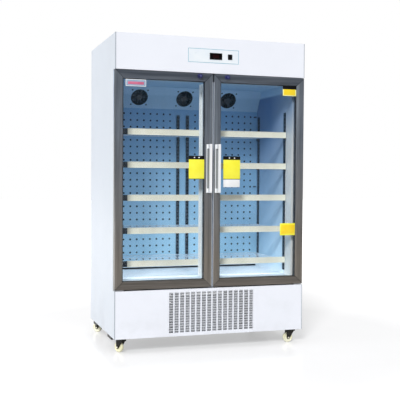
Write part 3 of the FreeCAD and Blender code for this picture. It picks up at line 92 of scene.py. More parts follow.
CAMERA_PLACE = Vector((-1.5953, -4.9265, 1.0572))
CAMERA_YAW = 0.320
CAMERA_PITCH = -0.029
CAMERA_ROLL = 0.007
FOCAL_PIXELS = 789.1
IMAGE_PIXELS = 400
SENSOR = 36.0


def make_camera():
    forward = Vector((math.sin(CAMERA_YAW) * math.cos(CAMERA_PITCH),
                      math.cos(CAMERA_YAW) * math.cos(CAMERA_PITCH),
                      math.sin(CAMERA_PITCH)))
    level = Vector((math.cos(CAMERA_YAW), -math.sin(CAMERA_YAW), 0.0))
    upward = level.cross(forward)
    right = level * math.cos(CAMERA_ROLL) + upward * math.sin(CAMERA_ROLL)
    top = upward * math.cos(CAMERA_ROLL) - level * math.sin(CAMERA_ROLL)
    data = bpy.data.cameras.new("camera")
    data.sensor_width = SENSOR
    data.lens = FOCAL_PIXELS / IMAGE_PIXELS * SENSOR
    camera = bpy.data.objects.new("camera", data)
    bpy.context.scene.collection.objects.link(camera)
    turn = Matrix((right, top, -forward)).transposed().to_4x4()
    camera.matrix_world = Matrix.Translation(CAMERA_PLACE) @ turn
    bpy.context.scene.camera = camera


# Materials

EDGE_FADE = 0.0005                   # half the width over which a painted edge fades
SIDE_JOINT = 0.006                   # width of the joint on a side panel's front edge
COVER_JOINT = 0.003                  # width of the joint on a front cover's outer edge
PLATE_FRONT = DOOR_FACE - 0.004      # Y just in front of a handle's base plate
GRIP_SHADOW_HALF = Vector((0.010, 0.122))  # half sizes of the grip's painted shadow on that plate
DOOR_FLANK = 0.0056                  # X within which a door's steel faces the other door and gets a painted highlight
UNLIT_TOP = 0.049                     # height at the top of the doors' facing edges left without the painted highlight, as the header shades it
RIM_START, RIM_END = -0.200, -0.212  # depths between which the painted light on the walls fades in
RIM_TOP, RIM_FULL = 1.50, 1.25       # heights between which it fades in, downwards
LINER_WALL = 0.548                   # X beyond which the liner is wall and not floor
BEHIND_DUCT_SHADE = (14, 17, 22)             # painted shade on what lies behind the duct panel


def linear(colour):
    """Scene-linear colour of an sRGB colour, given from 0 to 255."""
    def channel(value):
        value /= 255
        return value / 12.92 if value <= 0.04045 else ((value + 0.055) / 1.055) ** 2.4
    return tuple(channel(value) for value in colour) + (1.0,)


def tint(colour, factor):
    """Scene-linear colour of an sRGB colour, made darker by a factor."""
    return tuple(channel * factor for channel in linear(colour)[:3]) + (1.0,)


class Surface:
    """A node material built step by step on object coordinates."""

    def __init__(self, name, roughness=0.5, metallic=0.0):
        self.material = bpy.data.materials.new(name)
        self.material.use_nodes = True
        self.tree = self.material.node_tree
        self.shader = self.tree.nodes["Principled BSDF"]
        self.set(Roughness=roughness, Metallic=metallic)
        self.place = self.add("ShaderNodeTexCoord").outputs["Object"]

    def add(self, kind, **settings):
        node = self.tree.nodes.new(kind)
        for key, value in settings.items():
            setattr(node, key, value)
        return node

    def link(self, start, end):
        self.tree.links.new(start, end)

    def set(self, **inputs):
        for key, value in inputs.items():
            self.shader.inputs[key.replace("_", " ")].default_value = value

    def noise(self, scale, stretch=(1, 1, 1), detail=4.0, rough=0.55):
        mapping = self.add("ShaderNodeMapping")
        mapping.inputs["Scale"].default_value = stretch
        self.link(self.place, mapping.inputs["Vector"])
        node = self.add("ShaderNodeTexNoise")
        node.inputs["Scale"].default_value = scale
        node.inputs["Detail"].default_value = detail
        node.inputs["Roughness"].default_value = rough
        self.link(mapping.outputs["Vector"], node.inputs["Vector"])
        return node.outputs["Fac"]

    def math(self, operation, first, second=None):
        """Result of a math node; each value is a number or an output."""
        node = self.add("ShaderNodeMath", operation=operation)
        for socket, value in zip(node.inputs, (first, second)):
            if isinstance(value, (int, float)):
                socket.default_value = value
            elif value is not None:
                self.link(value, socket)
        return node.outputs[0]

    def span(self, value, start, end, to_start=0.0, to_end=1.0):
        """A value carried from one range to another, and held at its ends."""
        node = self.add("ShaderNodeMapRange")
        node.inputs["From Min"].default_value = start
        node.inputs["From Max"].default_value = end
        node.inputs["To Min"].default_value = to_start
        node.inputs["To Max"].default_value = to_end
        self.link(value, node.inputs["Value"])
        return node.outputs["Result"]

    def above(self, value, limit, fade=EDGE_FADE):
        """One where a value is above a limit, with a narrow fade at the limit."""
        return self.span(value, limit - fade, limit + fade)

    def below(self, value, limit, fade=EDGE_FADE):
        """One where a value is below a limit, with a narrow fade at the limit."""
        return self.span(value, limit + fade, limit - fade)

    def axis(self, name):
        node = self.add("ShaderNodeSeparateXYZ")
        self.link(self.place, node.inputs[0])
        return node.outputs[name]

    def measure(self, value, place):
        """How far a value is from a place, without its sign."""
        return self.math("ABSOLUTE", self.math("SUBTRACT", value, place))

    def from_middle(self):
        """How far a point is from the plane between the doors."""
        return self.measure(self.axis("X"), 0.0)

    def corner_rise(self, first, last):
        """Above zero on the rails of either door's frame, below on its stiles, zero on mitres."""
        centre, half = (first + last) / 2, (last - first) / 2
        across = self.measure(self.from_middle(), abs(centre.x))
        up = self.measure(self.axis("Z"), centre.z)
        return self.math("SUBTRACT", self.math("SUBTRACT", up, across), half.z - half.x)

    def pick(self, factor, first, second):
        """The first value where the factor is zero, the second where it is one."""
        node = self.add("ShaderNodeMix", data_type="FLOAT")
        for index, value in ((0, factor), (2, first), (3, second)):
            self.link(value, node.inputs[index])
        return node.outputs[0]

    def blend(self, factor, first, second, mode="MIX"):
        """Mix two colours; each is sRGB from 0 to 255, four scene-linear numbers or an output."""
        node = self.add("ShaderNodeMix", data_type="RGBA", blend_type=mode)
        if isinstance(factor, (int, float)):
            node.inputs["Factor"].default_value = factor
        else:
            self.link(factor, node.inputs["Factor"])
        for socket, colour in ((node.inputs[6], first), (node.inputs[7], second)):
            if isinstance(colour, tuple):
                socket.default_value = colour if len(colour) == 4 else linear(colour)
            else:
                self.link(colour, socket)
        return node.outputs[2]

    def colour(self, output):
        self.link(output, self.shader.inputs["Base Color"])

    def roughness(self, value, start, end):
        self.link(self.span(value, 0.3, 0.7, start, end), self.shader.inputs["Roughness"])

    def bump(self, value, distance):
        node = self.add("ShaderNodeBump")
        node.inputs["Distance"].default_value = distance
        node.inputs["Strength"].default_value = 1.0
        self.link(value, node.inputs["Height"])
        self.link(node.outputs["Normal"], self.shader.inputs["Normal"])


def side_seam(make):
    """Joint along the front edge of a side panel."""
    return make.below(make.axis("Y"), SIDE_FRONT + SIDE_JOINT)


def cover_seam(make):
    """Joint along the outer edges of the front covers and the top."""
    return make.above(make.from_middle(), COVER_EDGE - COVER_JOINT)


def powder_coat(name, colour, lower_colour, seam=None):
    """Powder-coated sheet: fine orange peel, faint clouding, patches a little darker near the
    floor.
    """
    make = Surface(name, 0.42)
    cloud = make.span(make.noise(3.0), 0.35, 0.65)
    near_floor = make.span(make.axis("Z"), 0.10, 0.55, 0.22, 0.0)
    patches = make.span(make.noise(9.0, detail=6.0), 0.45, 0.7)
    base = make.blend(cloud, colour, tint(colour, 0.975))
    if seam:
        base = make.blend(seam(make), base, (164, 172, 182))
    make.colour(make.blend(make.math("MULTIPLY", near_floor, patches), base, lower_colour))
    make.roughness(make.noise(14.0), 0.37, 0.50)
    make.bump(make.noise(900.0, detail=2.0), 0.00004)
    return make.material


def liner_paint(name, top, bottom):
    """Liner steel with painted shade: a deeper blue towards the top, and dark behind the duct
    panel.
    """
    make = Surface(name, 0.46)
    height = make.axis("Z")
    depth = make.axis("Y")
    cloud = make.noise(2.2, detail=5.0)
    # painted shade: a deeper blue towards the top; painted light: paler low down
    wash = make.blend(make.span(height, LINER_LOW.z, LINER_HIGH.z), bottom, top)
    wash = make.blend(make.span(cloud, 0.3, 0.7, 0.0, 0.10), wash, (236, 244, 250))
    ceiling = make.span(height, LINER_HIGH.z - 0.060, LINER_HIGH.z - 0.045)
    wash = make.blend(ceiling, wash, (168, 206, 236))
    # painted light: a pale pool of light on the liner's floor
    floor = make.span(height, LINER_LOW.z + 0.060, LINER_LOW.z + 0.002)
    wash = make.blend(floor, wash, (226, 240, 250))
    # painted light, fading in towards the opening
    lit_mouth = make.span(depth, 0.05, LINER_LOW.y, 0.0, 0.42)
    wash = make.blend(lit_mouth, wash, (214, 232, 243))
    # painted light on the front of the side walls, low down
    lit_rim = make.math("MULTIPLY", make.span(depth, RIM_START, RIM_END, 0.0, 0.85),
                    make.span(height, RIM_TOP, RIM_FULL))
    walls = make.above(make.from_middle(), LINER_WALL, 0.002)
    wash = make.blend(make.math("MULTIPLY", lit_rim, walls), wash, (244, 246, 242))
    # painted shade: what lies behind the duct panel is dark
    make.colour(make.blend(make.above(depth, DUCT_FACE + 0.003, 0.001), wash, BEHIND_DUCT_SHADE))
    make.roughness(cloud, 0.40, 0.54)
    make.bump(make.noise(700.0, detail=2.0), 0.00003)
    return make.material


def door_steel(name):
    """Brushed stainless frames, slate above and warmer below.

    The grain follows each rail and stile, the mitres are dark, the rails are a painted shade
    darker than the stiles, and the edges that face the other door carry a painted highlight.
    """
    make = Surface(name, 0.34, 0.6)
    rise = make.corner_rise(DOOR_LOW, DOOR_HIGH)
    rail = make.above(rise, 0.0, 0.0004)
    grain = make.pick(rail, make.noise(60.0, (1, 1, 0.03), detail=6.0, rough=0.7),
                      make.noise(60.0, (0.03, 1, 1), detail=6.0, rough=0.7))
    wide = make.pick(rail, make.noise(22.0, (1, 1, 0.02), detail=2.0),
                     make.noise(22.0, (0.02, 1, 1), detail=2.0))
    streak = make.span(grain, 0.25, 0.75)
    upper = make.blend(make.span(wide, 0.35, 0.65),
                       make.blend(streak, (54, 62, 73), (108, 116, 127)),
                       make.blend(streak, (80, 88, 98), (142, 150, 160)))
    lower = make.blend(streak, (80, 76, 71), (134, 127, 118))
    steel = make.blend(make.span(make.axis("Z"), 0.55, 1.35), lower, upper)
    # painted shade: the rails a little darker than the stiles
    shaded = make.blend(1.0, steel, (226, 226, 228), mode="MULTIPLY")
    steel = make.blend(rail, steel, shaded)
    mitre = make.below(make.math("ABSOLUTE", rise), 0.0017, 0.0007)
    steel = make.blend(mitre, steel, (26, 27, 30))
    # painted highlight on the edges that face the other door, except at their top end
    lit_flank = make.math("MULTIPLY", make.below(make.from_middle(), DOOR_FLANK, 0.0006),
                      make.below(make.axis("Z"), DOOR_HIGH.z - UNLIT_TOP, 0.003))
    make.colour(make.blend(lit_flank, steel, (226, 234, 244)))
    make.roughness(make.noise(6.0, detail=5.0), 0.28, 0.44)
    make.bump(grain, 0.00003)
    return make.material


def handle_metal(name):
    """Satin grip and arms; on the base plate between the arms the grip's shadow is painted
    darker.
    """
    make = Surface(name, 0.34, 0.25)
    fine = make.span(make.noise(60.0, (1, 1, 0.04), detail=6.0, rough=0.7), 0.3, 0.7)
    bright = make.blend(fine, (234, 237, 241), (252, 253, 254))
    # colour of the grip's painted shadow on the base plate
    shadow_tone = make.blend(fine, (112, 116, 120), (146, 150, 154))
    tall = make.below(make.measure(make.axis("Z"), HANDLE_MIDDLE.z), GRIP_SHADOW_HALF.y)
    wide = make.below(make.measure(make.from_middle(), HANDLE_MIDDLE.x), GRIP_SHADOW_HALF.x)
    grip_shadow = make.math("MULTIPLY", make.above(make.axis("Y"), PLATE_FRONT),
                      make.math("MULTIPLY", tall, wide))
    make.colour(make.blend(grip_shadow, bright, shadow_tone))
    make.roughness(make.noise(9.0), 0.28, 0.42)
    make.bump(fine, 0.00002)
    return make.material


def brushed_metal(name, colour, second, grain, metallic=1.0, roughness=(0.28, 0.42)):
    """Brushed metal with its grain along the axis of the smallest stretch, and smudges."""
    make = Surface(name, roughness[0], metallic)
    fine = make.noise(60.0, grain, detail=6.0, rough=0.7)
    make.colour(make.blend(make.span(fine, 0.3, 0.7), colour, second))
    make.roughness(make.noise(7.0, detail=5.0), *roughness)
    make.bump(fine, 0.00003)
    return make.material


def plastic(name, colour, second, roughness=0.4, texture=300.0, depth=0.00002, ior=1.5):
    """Moulded plastic with a slight grain and faint mottling."""
    make = Surface(name, roughness)
    make.colour(make.blend(make.span(make.noise(18.0), 0.35, 0.65), colour, second))
    make.roughness(make.noise(30.0), roughness - 0.06, roughness + 0.08)
    make.set(IOR=ior)
    make.bump(make.noise(texture, detail=3.0), depth)
    return make.material


def glass(name):
    """Clear glazing with a faint blue-green tint; dust makes it a touch less clear."""
    make = Surface(name, 0.03)
    smear = make.noise(5.0, (1, 1, 0.4), detail=5.0)
    make.link(make.span(smear, 0.35, 0.7, 0.02, 0.045), make.shader.inputs["Alpha"])
    make.colour(make.blend(make.span(smear, 0.3, 0.7), (60, 84, 104), (92, 120, 142)))
    make.roughness(smear, 0.02, 0.06)
    make.set(IOR=1.5)
    return make.material


def slotted_steel(name):
    """Plated upright in painted shade; its slots, every 25 mm, are painted dark as the shade in
    them.
    """
    make = Surface(name, 0.36, 0.7)
    slot_pitch, slot_share = 0.025, 0.42
    edge = slot_pitch / 2 * (1 - slot_share)
    # slot mask: its dark colour is painted shade inside the slots
    slots = make.span(make.math("PINGPONG", make.axis("Z"), slot_pitch / 2),
                      edge, edge + 0.0006)
    # plated steel darkened with painted shade
    metal = make.blend(make.span(make.noise(40.0, (1, 1, 0.2)), 0.3, 0.7),
                       (42, 52, 64), (62, 74, 88))
    make.colour(make.blend(slots, metal, (18, 24, 32)))
    make.bump(slots, -0.0008)
    return make.material


def lit_cover(name, colour):
    """Cover of a lamp that is on."""
    glow = linear(colour)
    make = Surface(name, 0.4)
    make.set(Base_Color=glow, Emission_Color=glow, Emission_Strength=1.0)
    return make.material


def build_materials():
    shade = (205, 208, 212)
    even, along_z = (1, 1, 1), (1, 1, 0.1)
    return {
        "cabinet": powder_coat("cabinet_paint", (241, 244, 252), shade, cover_seam),
        # the side panels' white is a touch darker and bluer than the covers': painted shade
        "side": powder_coat("side_paint", (233, 240, 249), shade, side_seam),
        "grey": powder_coat("grey_sheet", (176, 180, 186), (120, 120, 120)),
        "spangle": brushed_metal("galvanised_sheet", (186, 190, 196), (158, 163, 170), even,
                                 0.3, (0.38, 0.56)),
        "cover": powder_coat("cover_paint", (206, 210, 216), (150, 150, 150)),
        "louvre": powder_coat("louvre_paint", (240, 242, 247), (206, 207, 210)),
        # liner colours: first the painted shade at the top, then the painted light at the bottom
        "liner": liner_paint("liner_paint", (50, 100, 164), (194, 228, 248)),
        "duct": liner_paint("duct_paint", (99, 158, 212), (178, 226, 250)),
        "fan_plate": liner_paint("fan_plate_paint", (146, 188, 222), (180, 214, 238)),
        "mullion": powder_coat("mullion_paint", (240, 246, 248), shade),
        "foam": plastic("foam", (222, 205, 160), (200, 180, 130), 0.9, 90.0, 0.0006),
        "plated": brushed_metal("plated_steel", (150, 154, 158), (178, 180, 184), along_z),
        "standard": slotted_steel("slotted_steel"),
        "rack": plastic("rack_coating", (196, 214, 230), (226, 238, 246), 0.3),
        "strip": plastic("strip_plastic", (249, 251, 236), (243, 244, 226), 0.34),
        "black": plastic("black_plastic", (22, 23, 26), (38, 40, 44), 0.45),
        "rotor": plastic("rotor_plastic", (20, 20, 23), (36, 37, 42), 0.42),
        "coil": brushed_metal("coil_metal", (46, 50, 54), (72, 76, 80), (1, 1, 8),
                              roughness=(0.4, 0.6)),
        "fins": brushed_metal("fin_metal", (166, 170, 176), (194, 198, 204), (1, 1, 8), 0.2,
                              (0.4, 0.6)),
        "compressor": plastic("compressor_paint", (16, 16, 17), (30, 30, 32), 0.25),
        "lamp": lit_cover("lamp_cover", (232, 244, 255)),
        "door": door_steel("door_steel"),
        "seal": plastic("seal_rubber", (30, 31, 34), (48, 49, 52), 0.7, 160.0),
        "glass": glass("door_glass"),
        "handle": handle_metal("handle_metal"),
        "lock": plastic("lock_blue", (18, 20, 78), (28, 32, 100), 0.28),
        "bracket": plastic("bracket_steel", (30, 38, 48), (48, 58, 68), 0.45),
        "fork": brushed_metal("fork_metal", (26, 25, 23), (46, 44, 38), (1, 1, 0.2), 0.5,
                              (0.35, 0.5)),
        "wheel": plastic("wheel_nylon", (251, 249, 226), (240, 236, 198), 0.35),
        "zinc": brushed_metal("zinc", (200, 196, 184), (232, 228, 214), even),
        "lock_face": brushed_metal("lock_face", (74, 78, 132), (112, 116, 168), even, 0.6),
        "yellow": plastic("card_yellow", (252, 246, 74), (249, 240, 56), 0.36),
        "orange": plastic("card_orange", (250, 220, 40), (246, 208, 30), 0.36),
        "cream": plastic("card_cream", (253, 250, 176), (251, 246, 150), 0.36),
        "card_black": plastic("card_black", (14, 14, 14), (24, 24, 24), 0.35, ior=1.2),
        "paper": plastic("paper", (244, 244, 244), (232, 234, 236), 0.55),
        "pink": plastic("label_pink", (214, 120, 150), (198, 96, 128)),
        "pale": plastic("label_pale", (140, 166, 192), (158, 184, 208)),
        "panel": plastic("control_film", (240, 246, 251), (234, 242, 249), 0.32),
        "line": plastic("control_line", (82, 158, 186), (96, 168, 194)),
        "display": plastic("display_window", (7, 5, 6), (12, 8, 9), 0.22, ior=1.15),
        "segment": plastic("display_segment", (44, 14, 16), (58, 18, 20), 0.3, ior=1.15),
        "switch": plastic("switch_black", (9, 9, 10), (16, 16, 18), 0.5, ior=1.2),
    }


# Mesh building

SHARP_ANGLE = math.radians(35)


def new_piece(name, form, body, material, replaced=(), smooth=False):
    """Turn a form into a piece that rides on a body and may replace construction nodes."""
    bmesh.ops.recalc_face_normals(form, faces=form.faces)
    mesh = bpy.data.meshes.new(name)
    form.to_mesh(mesh)
    form.free()
    if smooth:
        for face in mesh.polygons:
            face.use_smooth = True
        mesh.set_sharp_from_angle(angle=SHARP_ANGLE)
    mesh.materials.append(material)
    piece = bpy.data.objects.new(name, mesh)
    bpy.context.scene.collection.objects.link(piece)
    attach(piece, body)
    if replaced:
        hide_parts(*replaced)
    return piece


def join_rings(form, near, far):
    """A band of faces between two rings of equally many points."""
    count = len(near)
    for step in range(count):
        after = (step + 1) % count
        form.faces.new((near[step], near[after], far[after], far[step]))


def add_loft(form, rings):
    """A closed solid through a row of rings."""
    for near, far in zip(rings, rings[1:]):
        join_rings(form, near, far)
    form.faces.new(rings[0][::-1])
    form.faces.new(rings[-1])


def add_circle(form, centre, axis, radius, sides):
    """A ring of points round an axis."""
    across = axis.orthogonal().normalized()
    other = axis.cross(across)
    return [form.verts.new(centre + radius * (math.cos(turn) * across + math.sin(turn) * other))
            for turn in (2 * math.pi * step / sides for step in range(sides))]


def add_tube(form, start, end, radius, sides):
    """A closed round rod between two points."""
    along = (end - start).normalized()
    add_loft(form, [add_circle(form, centre, along, radius, sides) for centre in (start, end)])


def add_revolved(form, profile, centre, axis, sides):
    """Turn a closed profile of (radius, distance along the axis) round an axis."""
    rings = [add_circle(form, centre + along * axis, axis, radius, sides)
             for radius, along in profile]
    for index, ring in enumerate(rings):
        join_rings(form, ring, rings[(index + 1) % len(rings)])


def add_extruded(form, profile, start, end):
    """Carry a closed profile of (y, z) pairs along X from start to end."""
    add_loft(form, [[form.verts.new((x, y, z)) for y, z in profile] for x in (start, end)])


def add_block(form, first, last, bevel=0.0):
    """A block between two corners, with rounded edges where a bevel is given."""
    size = last - first
    made = bmesh.ops.create_cube(form, size=1.0)
    for vertex in made["verts"]:
        vertex.co = Vector((first[axis] + (vertex.co[axis] + 0.5) * size[axis]
                            for axis in range(3)))
    if bevel:
        edges = list({edge for vertex in made["verts"] for edge in vertex.link_edges})
        bmesh.ops.bevel(form, geom=edges, offset=bevel, segments=2, profile=0.5,
                        affect="EDGES")


# Racks, ticket strips and their brackets

WIRE_PITCH = 0.0262
WIRE_RADIUS = 0.0018
RAIL_RADIUS = 0.0025
# Depth and height of the strip's outline in millimetres, from its front's lower edge
STRIP_PROFILE = ((1.2, 0), (0.2, 0.8), (0, 3.0), (1.3, 4.0), (1.7, 5.0), (1.7, 33.0),
                 (1.3, 34.0), (0, 35.0), (0.2, 37.2), (1.2, 38.0), (4.8, 38.0), (6, 36.8),
                 (6, 1.2), (4.8, 0))
STRIP_TALL = max(height for depth, height in STRIP_PROFILE) * MM
STRIP_ENDS = {"left": (-0.505, -0.008), "right": (0.008, 0.546)}
BRACKET_HALF = 0.018
BRACKET_INSET = 0.0005
BRACKET_THICKNESS = 0.0055
TAIL_THICKNESS = 0.003
TAIL_LENGTH = 0.035
TAIL_DROP = 0.0035


def rack_level(side, level):
    name = f"shelf_{side}_{level}"
    return (low(name).z + high(name).z) / 2


def make_rack(side, level, looks):
    """Coated wire rack: a rail all round, wires from front to back and two cross wires."""
    name = f"shelf_{side}_{level}"
    first, last = low(name), high(name)
    height = rack_level(side, level)
    left, right = first.x + RAIL_RADIUS, last.x - RAIL_RADIUS
    front, rear = first.y + RAIL_RADIUS, last.y - RAIL_RADIUS
    form = bmesh.new()
    corners = [Vector((x, y, height)) for x, y in (
        (left, front), (right, front), (right, rear), (left, rear))]
    for step in range(4):
        add_tube(form, corners[step], corners[(step + 1) % 4], RAIL_RADIUS, 12)
    rise = RAIL_RADIUS - WIRE_RADIUS
    count = round((right - left) / WIRE_PITCH)
    for step in range(1, count):
        x = left + step * (right - left) / count
        add_tube(form, Vector((x, front, height + rise)), Vector((x, rear, height + rise)),
                 WIRE_RADIUS, 8)
    for share in (1 / 3, 2 / 3):
        y = first.y + share * (last.y - first.y)
        add_tube(form, Vector((left, y, height - rise)), Vector((right, y, height - rise)),
                 WIRE_RADIUS, 8)
    new_piece(f"rack_{name}", form, "cabinet", looks["rack"], (name,),
              smooth=True)


def make_ticket_strips(looks):
    """Label holders with a lip above and below the insert, one along each rack's front."""
    form = bmesh.new()
    for side in SIDES:
        for level in LEVELS:
            base = rack_level(side, level) - STRIP_TALL / 2
            profile = [(STRIP_FACE + y * MM, base + z * MM) for y, z in STRIP_PROFILE]
            add_extruded(form, profile, *STRIP_ENDS[side])
    new_piece("ticket_holders", form, "cabinet", looks["strip"],
              ("ticket_strips",))


def make_end_brackets(looks):
    """Dark hooks that join each left rack's outer end to the wall."""
    form = bmesh.new()
    front = STRIP_FACE + BRACKET_INSET
    rear = front + BRACKET_THICKNESS
    for level in LEVELS:
        middle = rack_level("left", level)
        outer = low(f"shelf_left_{level}").x
        add_block(form, Vector((outer, front, middle - BRACKET_HALF)),
                  Vector((STRIP_ENDS["left"][0], rear, middle + BRACKET_HALF)), 0.0008)
        add_block(form, Vector((outer, rear, middle - BRACKET_HALF)),
                  Vector((outer + TAIL_THICKNESS, front + TAIL_LENGTH, middle - TAIL_DROP)),
                  0.0006)
    new_piece("rack_end_brackets", form, "cabinet", looks["bracket"])


# Duct panel and fan plate

HOLE_PITCH = Vector((0.046, 0.0448))
HOLE_RADIUS = 0.0065
HOLE_SIDES = 16
FIRST_COLUMN = 0.090  # from the middle, to either side
COLUMNS = 10
FIRST_ROW = 1.484
ROWS = 23
DUCT_THICKNESS = 0.0012
DUCT_FOOT = 0.012     # gap under the panel
SLOT_ROWS = (0, 11)   # rows that end in a level slot at the right
SLOT_SIZE = (0.028, 0.008)
SCREW_PITCH = 0.105
# Radius and distance from the plate
SCREW_PROFILE = ((0.0001, -0.001), (0.0056, -0.001), (0.0056, 0.0006), (0.0042, 0.0018),
                 (0.0001, 0.0024))


def round_hole():
    """Points of a round hole, each with its partner on the border of a square cell."""
    points = []
    for step in range(HOLE_SIDES):
        across = math.cos(2 * math.pi * step / HOLE_SIDES)
        up = math.sin(2 * math.pi * step / HOLE_SIDES)
        reach = max(abs(across), abs(up))
        points.append(((HOLE_RADIUS * across, HOLE_RADIUS * up), (across / reach, up / reach)))
    return points


def level_slot():
    """Corners and middles of a level slot, each with its partner on the cell's border."""
    wide, tall = SLOT_SIZE[0] / 2, SLOT_SIZE[1] / 2
    ways = ((1, 1), (0, 1), (-1, 1), (-1, 0), (-1, -1), (0, -1), (1, -1), (1, 0))
    return [((wide * across, tall * up), (across, up)) for across, up in ways]


def add_pierced_cell(form, left, right, bottom, top, outline):
    """One cell of a sheet with a hole: a band from the hole's outline to the cell's border."""
    middle = Vector(((left + right) / 2, (bottom + top) / 2))
    half = Vector(((right - left) / 2, (top - bottom) / 2))
    inner, outer = [], []
    for (across, up), (toward_x, toward_z) in outline:
        outer.append(form.verts.new((middle.x + toward_x * half.x, DUCT_FACE,
                                     middle.y + toward_z * half.y)))
        inner.append(form.verts.new((middle.x + across, DUCT_FACE, middle.y + up)))
    join_rings(form, outer, inner)


def add_plain_cell(form, left, right, bottom, top):
    form.faces.new([form.verts.new((x, DUCT_FACE, z)) for x, z in (
        (left, bottom), (right, bottom), (right, top), (left, top))])


def make_duct_panel(looks):
    """Duct panel with its grid of round holes and two level slots at its right end."""
    first, last = low("duct_panel"), high("duct_panel")
    half, rise = HOLE_PITCH / 2
    centres = sorted(side * (FIRST_COLUMN + step * HOLE_PITCH.x)
                     for side in (-1, 1) for step in range(COLUMNS))
    inner, outer = FIRST_COLUMN - half, centres[-1] + half
    form = bmesh.new()
    for row in range(ROWS):
        level = FIRST_ROW - row * HOLE_PITCH.y
        bottom, top = level - rise, level + rise
        for centre in centres:
            add_pierced_cell(form, centre - half, centre + half, bottom, top, round_hole())
        add_plain_cell(form, -inner, inner, bottom, top)
        add_plain_cell(form, first.x, -outer, bottom, top)
        if row in SLOT_ROWS:
            add_pierced_cell(form, outer, last.x, bottom, top, level_slot())
        else:
            add_plain_cell(form, outer, last.x, bottom, top)
    grid_low = FIRST_ROW - (ROWS - 1) * HOLE_PITCH.y - rise
    add_plain_cell(form, first.x, last.x, first.z + DUCT_FOOT, grid_low)
    add_plain_cell(form, first.x, last.x, FIRST_ROW + rise, last.z)
    bmesh.ops.remove_doubles(form, verts=form.verts, dist=0.00001)
    panel = new_piece("pierced_duct_panel", form, "cabinet", looks["duct"],
                      ("duct_panel",))
    thicken = panel.modifiers.new("sheet", "SOLIDIFY")
    thicken.thickness = DUCT_THICKNESS
    thicken.offset = -1.0
    face_the_doors(panel.data)
    form = bmesh.new()
    for x in (first.x, last.x - DUCT_THICKNESS):
        add_block(form, Vector((x, DUCT_FACE + DUCT_THICKNESS, first.z)),
                  Vector((x + DUCT_THICKNESS, last.y, last.z)))
    new_piece("duct_sides", form, "cabinet", looks["duct"])


def face_the_doors(mesh):
    """Turn a sheet's faces towards the doors."""
    if sum(face.normal.y * face.area for face in mesh.polygons) > 0:
        mesh.flip_normals()


def make_fan_screws(looks):
    """Four pan-head screws round each fan opening, on the sloping plate."""
    form = bmesh.new()
    for index in (1, 2, 3):
        centre, outward = joint(f"fan_{index}_spin")
        climb = Vector((0, outward.z, -outward.y))
        for across in (-1, 1):
            for up in (-1, 1):
                place = (centre + Vector((across * SCREW_PITCH / 2, 0, 0))
                         + climb * (up * SCREW_PITCH / 2))
                add_revolved(form, SCREW_PROFILE, place, outward, 16)
    new_piece("fan_screws", form, "cabinet", looks["bracket"], smooth=True)


# Labels

GAP = 0.0002          # between a label and what it lies on
CARD_CORNER = 0.0015
CARD_LOW, CARD_HIGH = 1.0455, 1.165
BAND_HIGH = 1.187
BAND_THICKNESS = 0.0014
EYELET_LEVEL = 1.1765
EYELET_PROFILE = ((0.0001, 0), (0.0042, 0), (0.0042, 0.0010), (0.0034, 0.0016),
                  (0.0001, 0.0016))

# Name, door, left, right, bottom, top, how far its back is lifted, thickness and look
LABELS = (
    ("right_door_note", "right", 0.0715, 0.1800, 0.9965, 1.0435, 0.0, 0.0004, "paper"),
    ("top_label", "right", 0.4660, 0.5585, 1.5735, 1.6150, 0.0, 0.0008, "cream"),
    ("top_label_field", "right", 0.4730, 0.5515, 1.5785, 1.6150, 0.0009, 0.0003, "orange"),
    ("top_label_band", "right", 0.4660, 0.5585, 1.6150, 1.6385, 0.0, 0.0012, "card_black"),
    ("lower_label", "right", 0.4550, 0.5590, 0.6920, 0.7685, 0.0, 0.0008, "yellow"),
    ("lower_label_band", "right", 0.4630, 0.5560, 0.7020, 0.7585, 0.0009, 0.0003, "orange"),
    ("corner_label", "left", -0.5460, -0.4215, 1.5925, 1.6340, 0.0, 0.0004, "paper"),
    ("corner_label_field", "left", -0.5425, -0.4250, 1.5960, 1.6305, 0.0005, 0.0003, "pale"),
    ("corner_label_bar", "left", -0.5330, -0.4350, 1.6035, 1.6200, 0.0009, 0.0003, "pink"),
)


def add_label(name, door, left, right, bottom, top, lift, thickness, material):
    """A thin plate on the outer face of a door's pane."""
    form = bmesh.new()
    back = PANE_FACE - GAP - lift
    add_block(form, Vector((left, back - thickness, bottom)), Vector((right, back, top)),
              min(CARD_CORNER, thickness * 0.45))
    new_piece(name, form, f"door_{door}", material, smooth=True)


def add_hanging_card(door, left, right, looks):
    """A plain yellow card with a black head band, a dark foot and two white eyelets."""
    name = f"{door}_door"
    black = looks["card_black"]
    add_label(f"{name}_card", door, left, right, CARD_LOW, CARD_HIGH, 0.0, 0.0010,
              looks["yellow"])
    add_label(f"{name}_band", door, left, right, CARD_HIGH, BAND_HIGH, 0.0, BAND_THICKNESS,
              black)
    add_label(f"{name}_foot", door, left, right, CARD_LOW - 0.001, CARD_LOW + 0.002, 0.0011,
              0.0003, black)
    form = bmesh.new()
    face = PANE_FACE - GAP - BAND_THICKNESS - GAP
    for share in (0.36, 0.66):
        add_revolved(form, EYELET_PROFILE,
                     Vector((left + share * (right - left), face, EYELET_LEVEL)),
                     Vector((0, -1, 0)), 20)
    new_piece(f"{name}_eyelets", form, f"door_{door}", looks["paper"],
              smooth=True)


def make_labels(looks):
    add_hanging_card("left", -0.152, -0.0535, looks)
    add_hanging_card("right", 0.070, 0.182, looks)
    for *label, look in LABELS:
        add_label(*label, looks[look])


# Controls

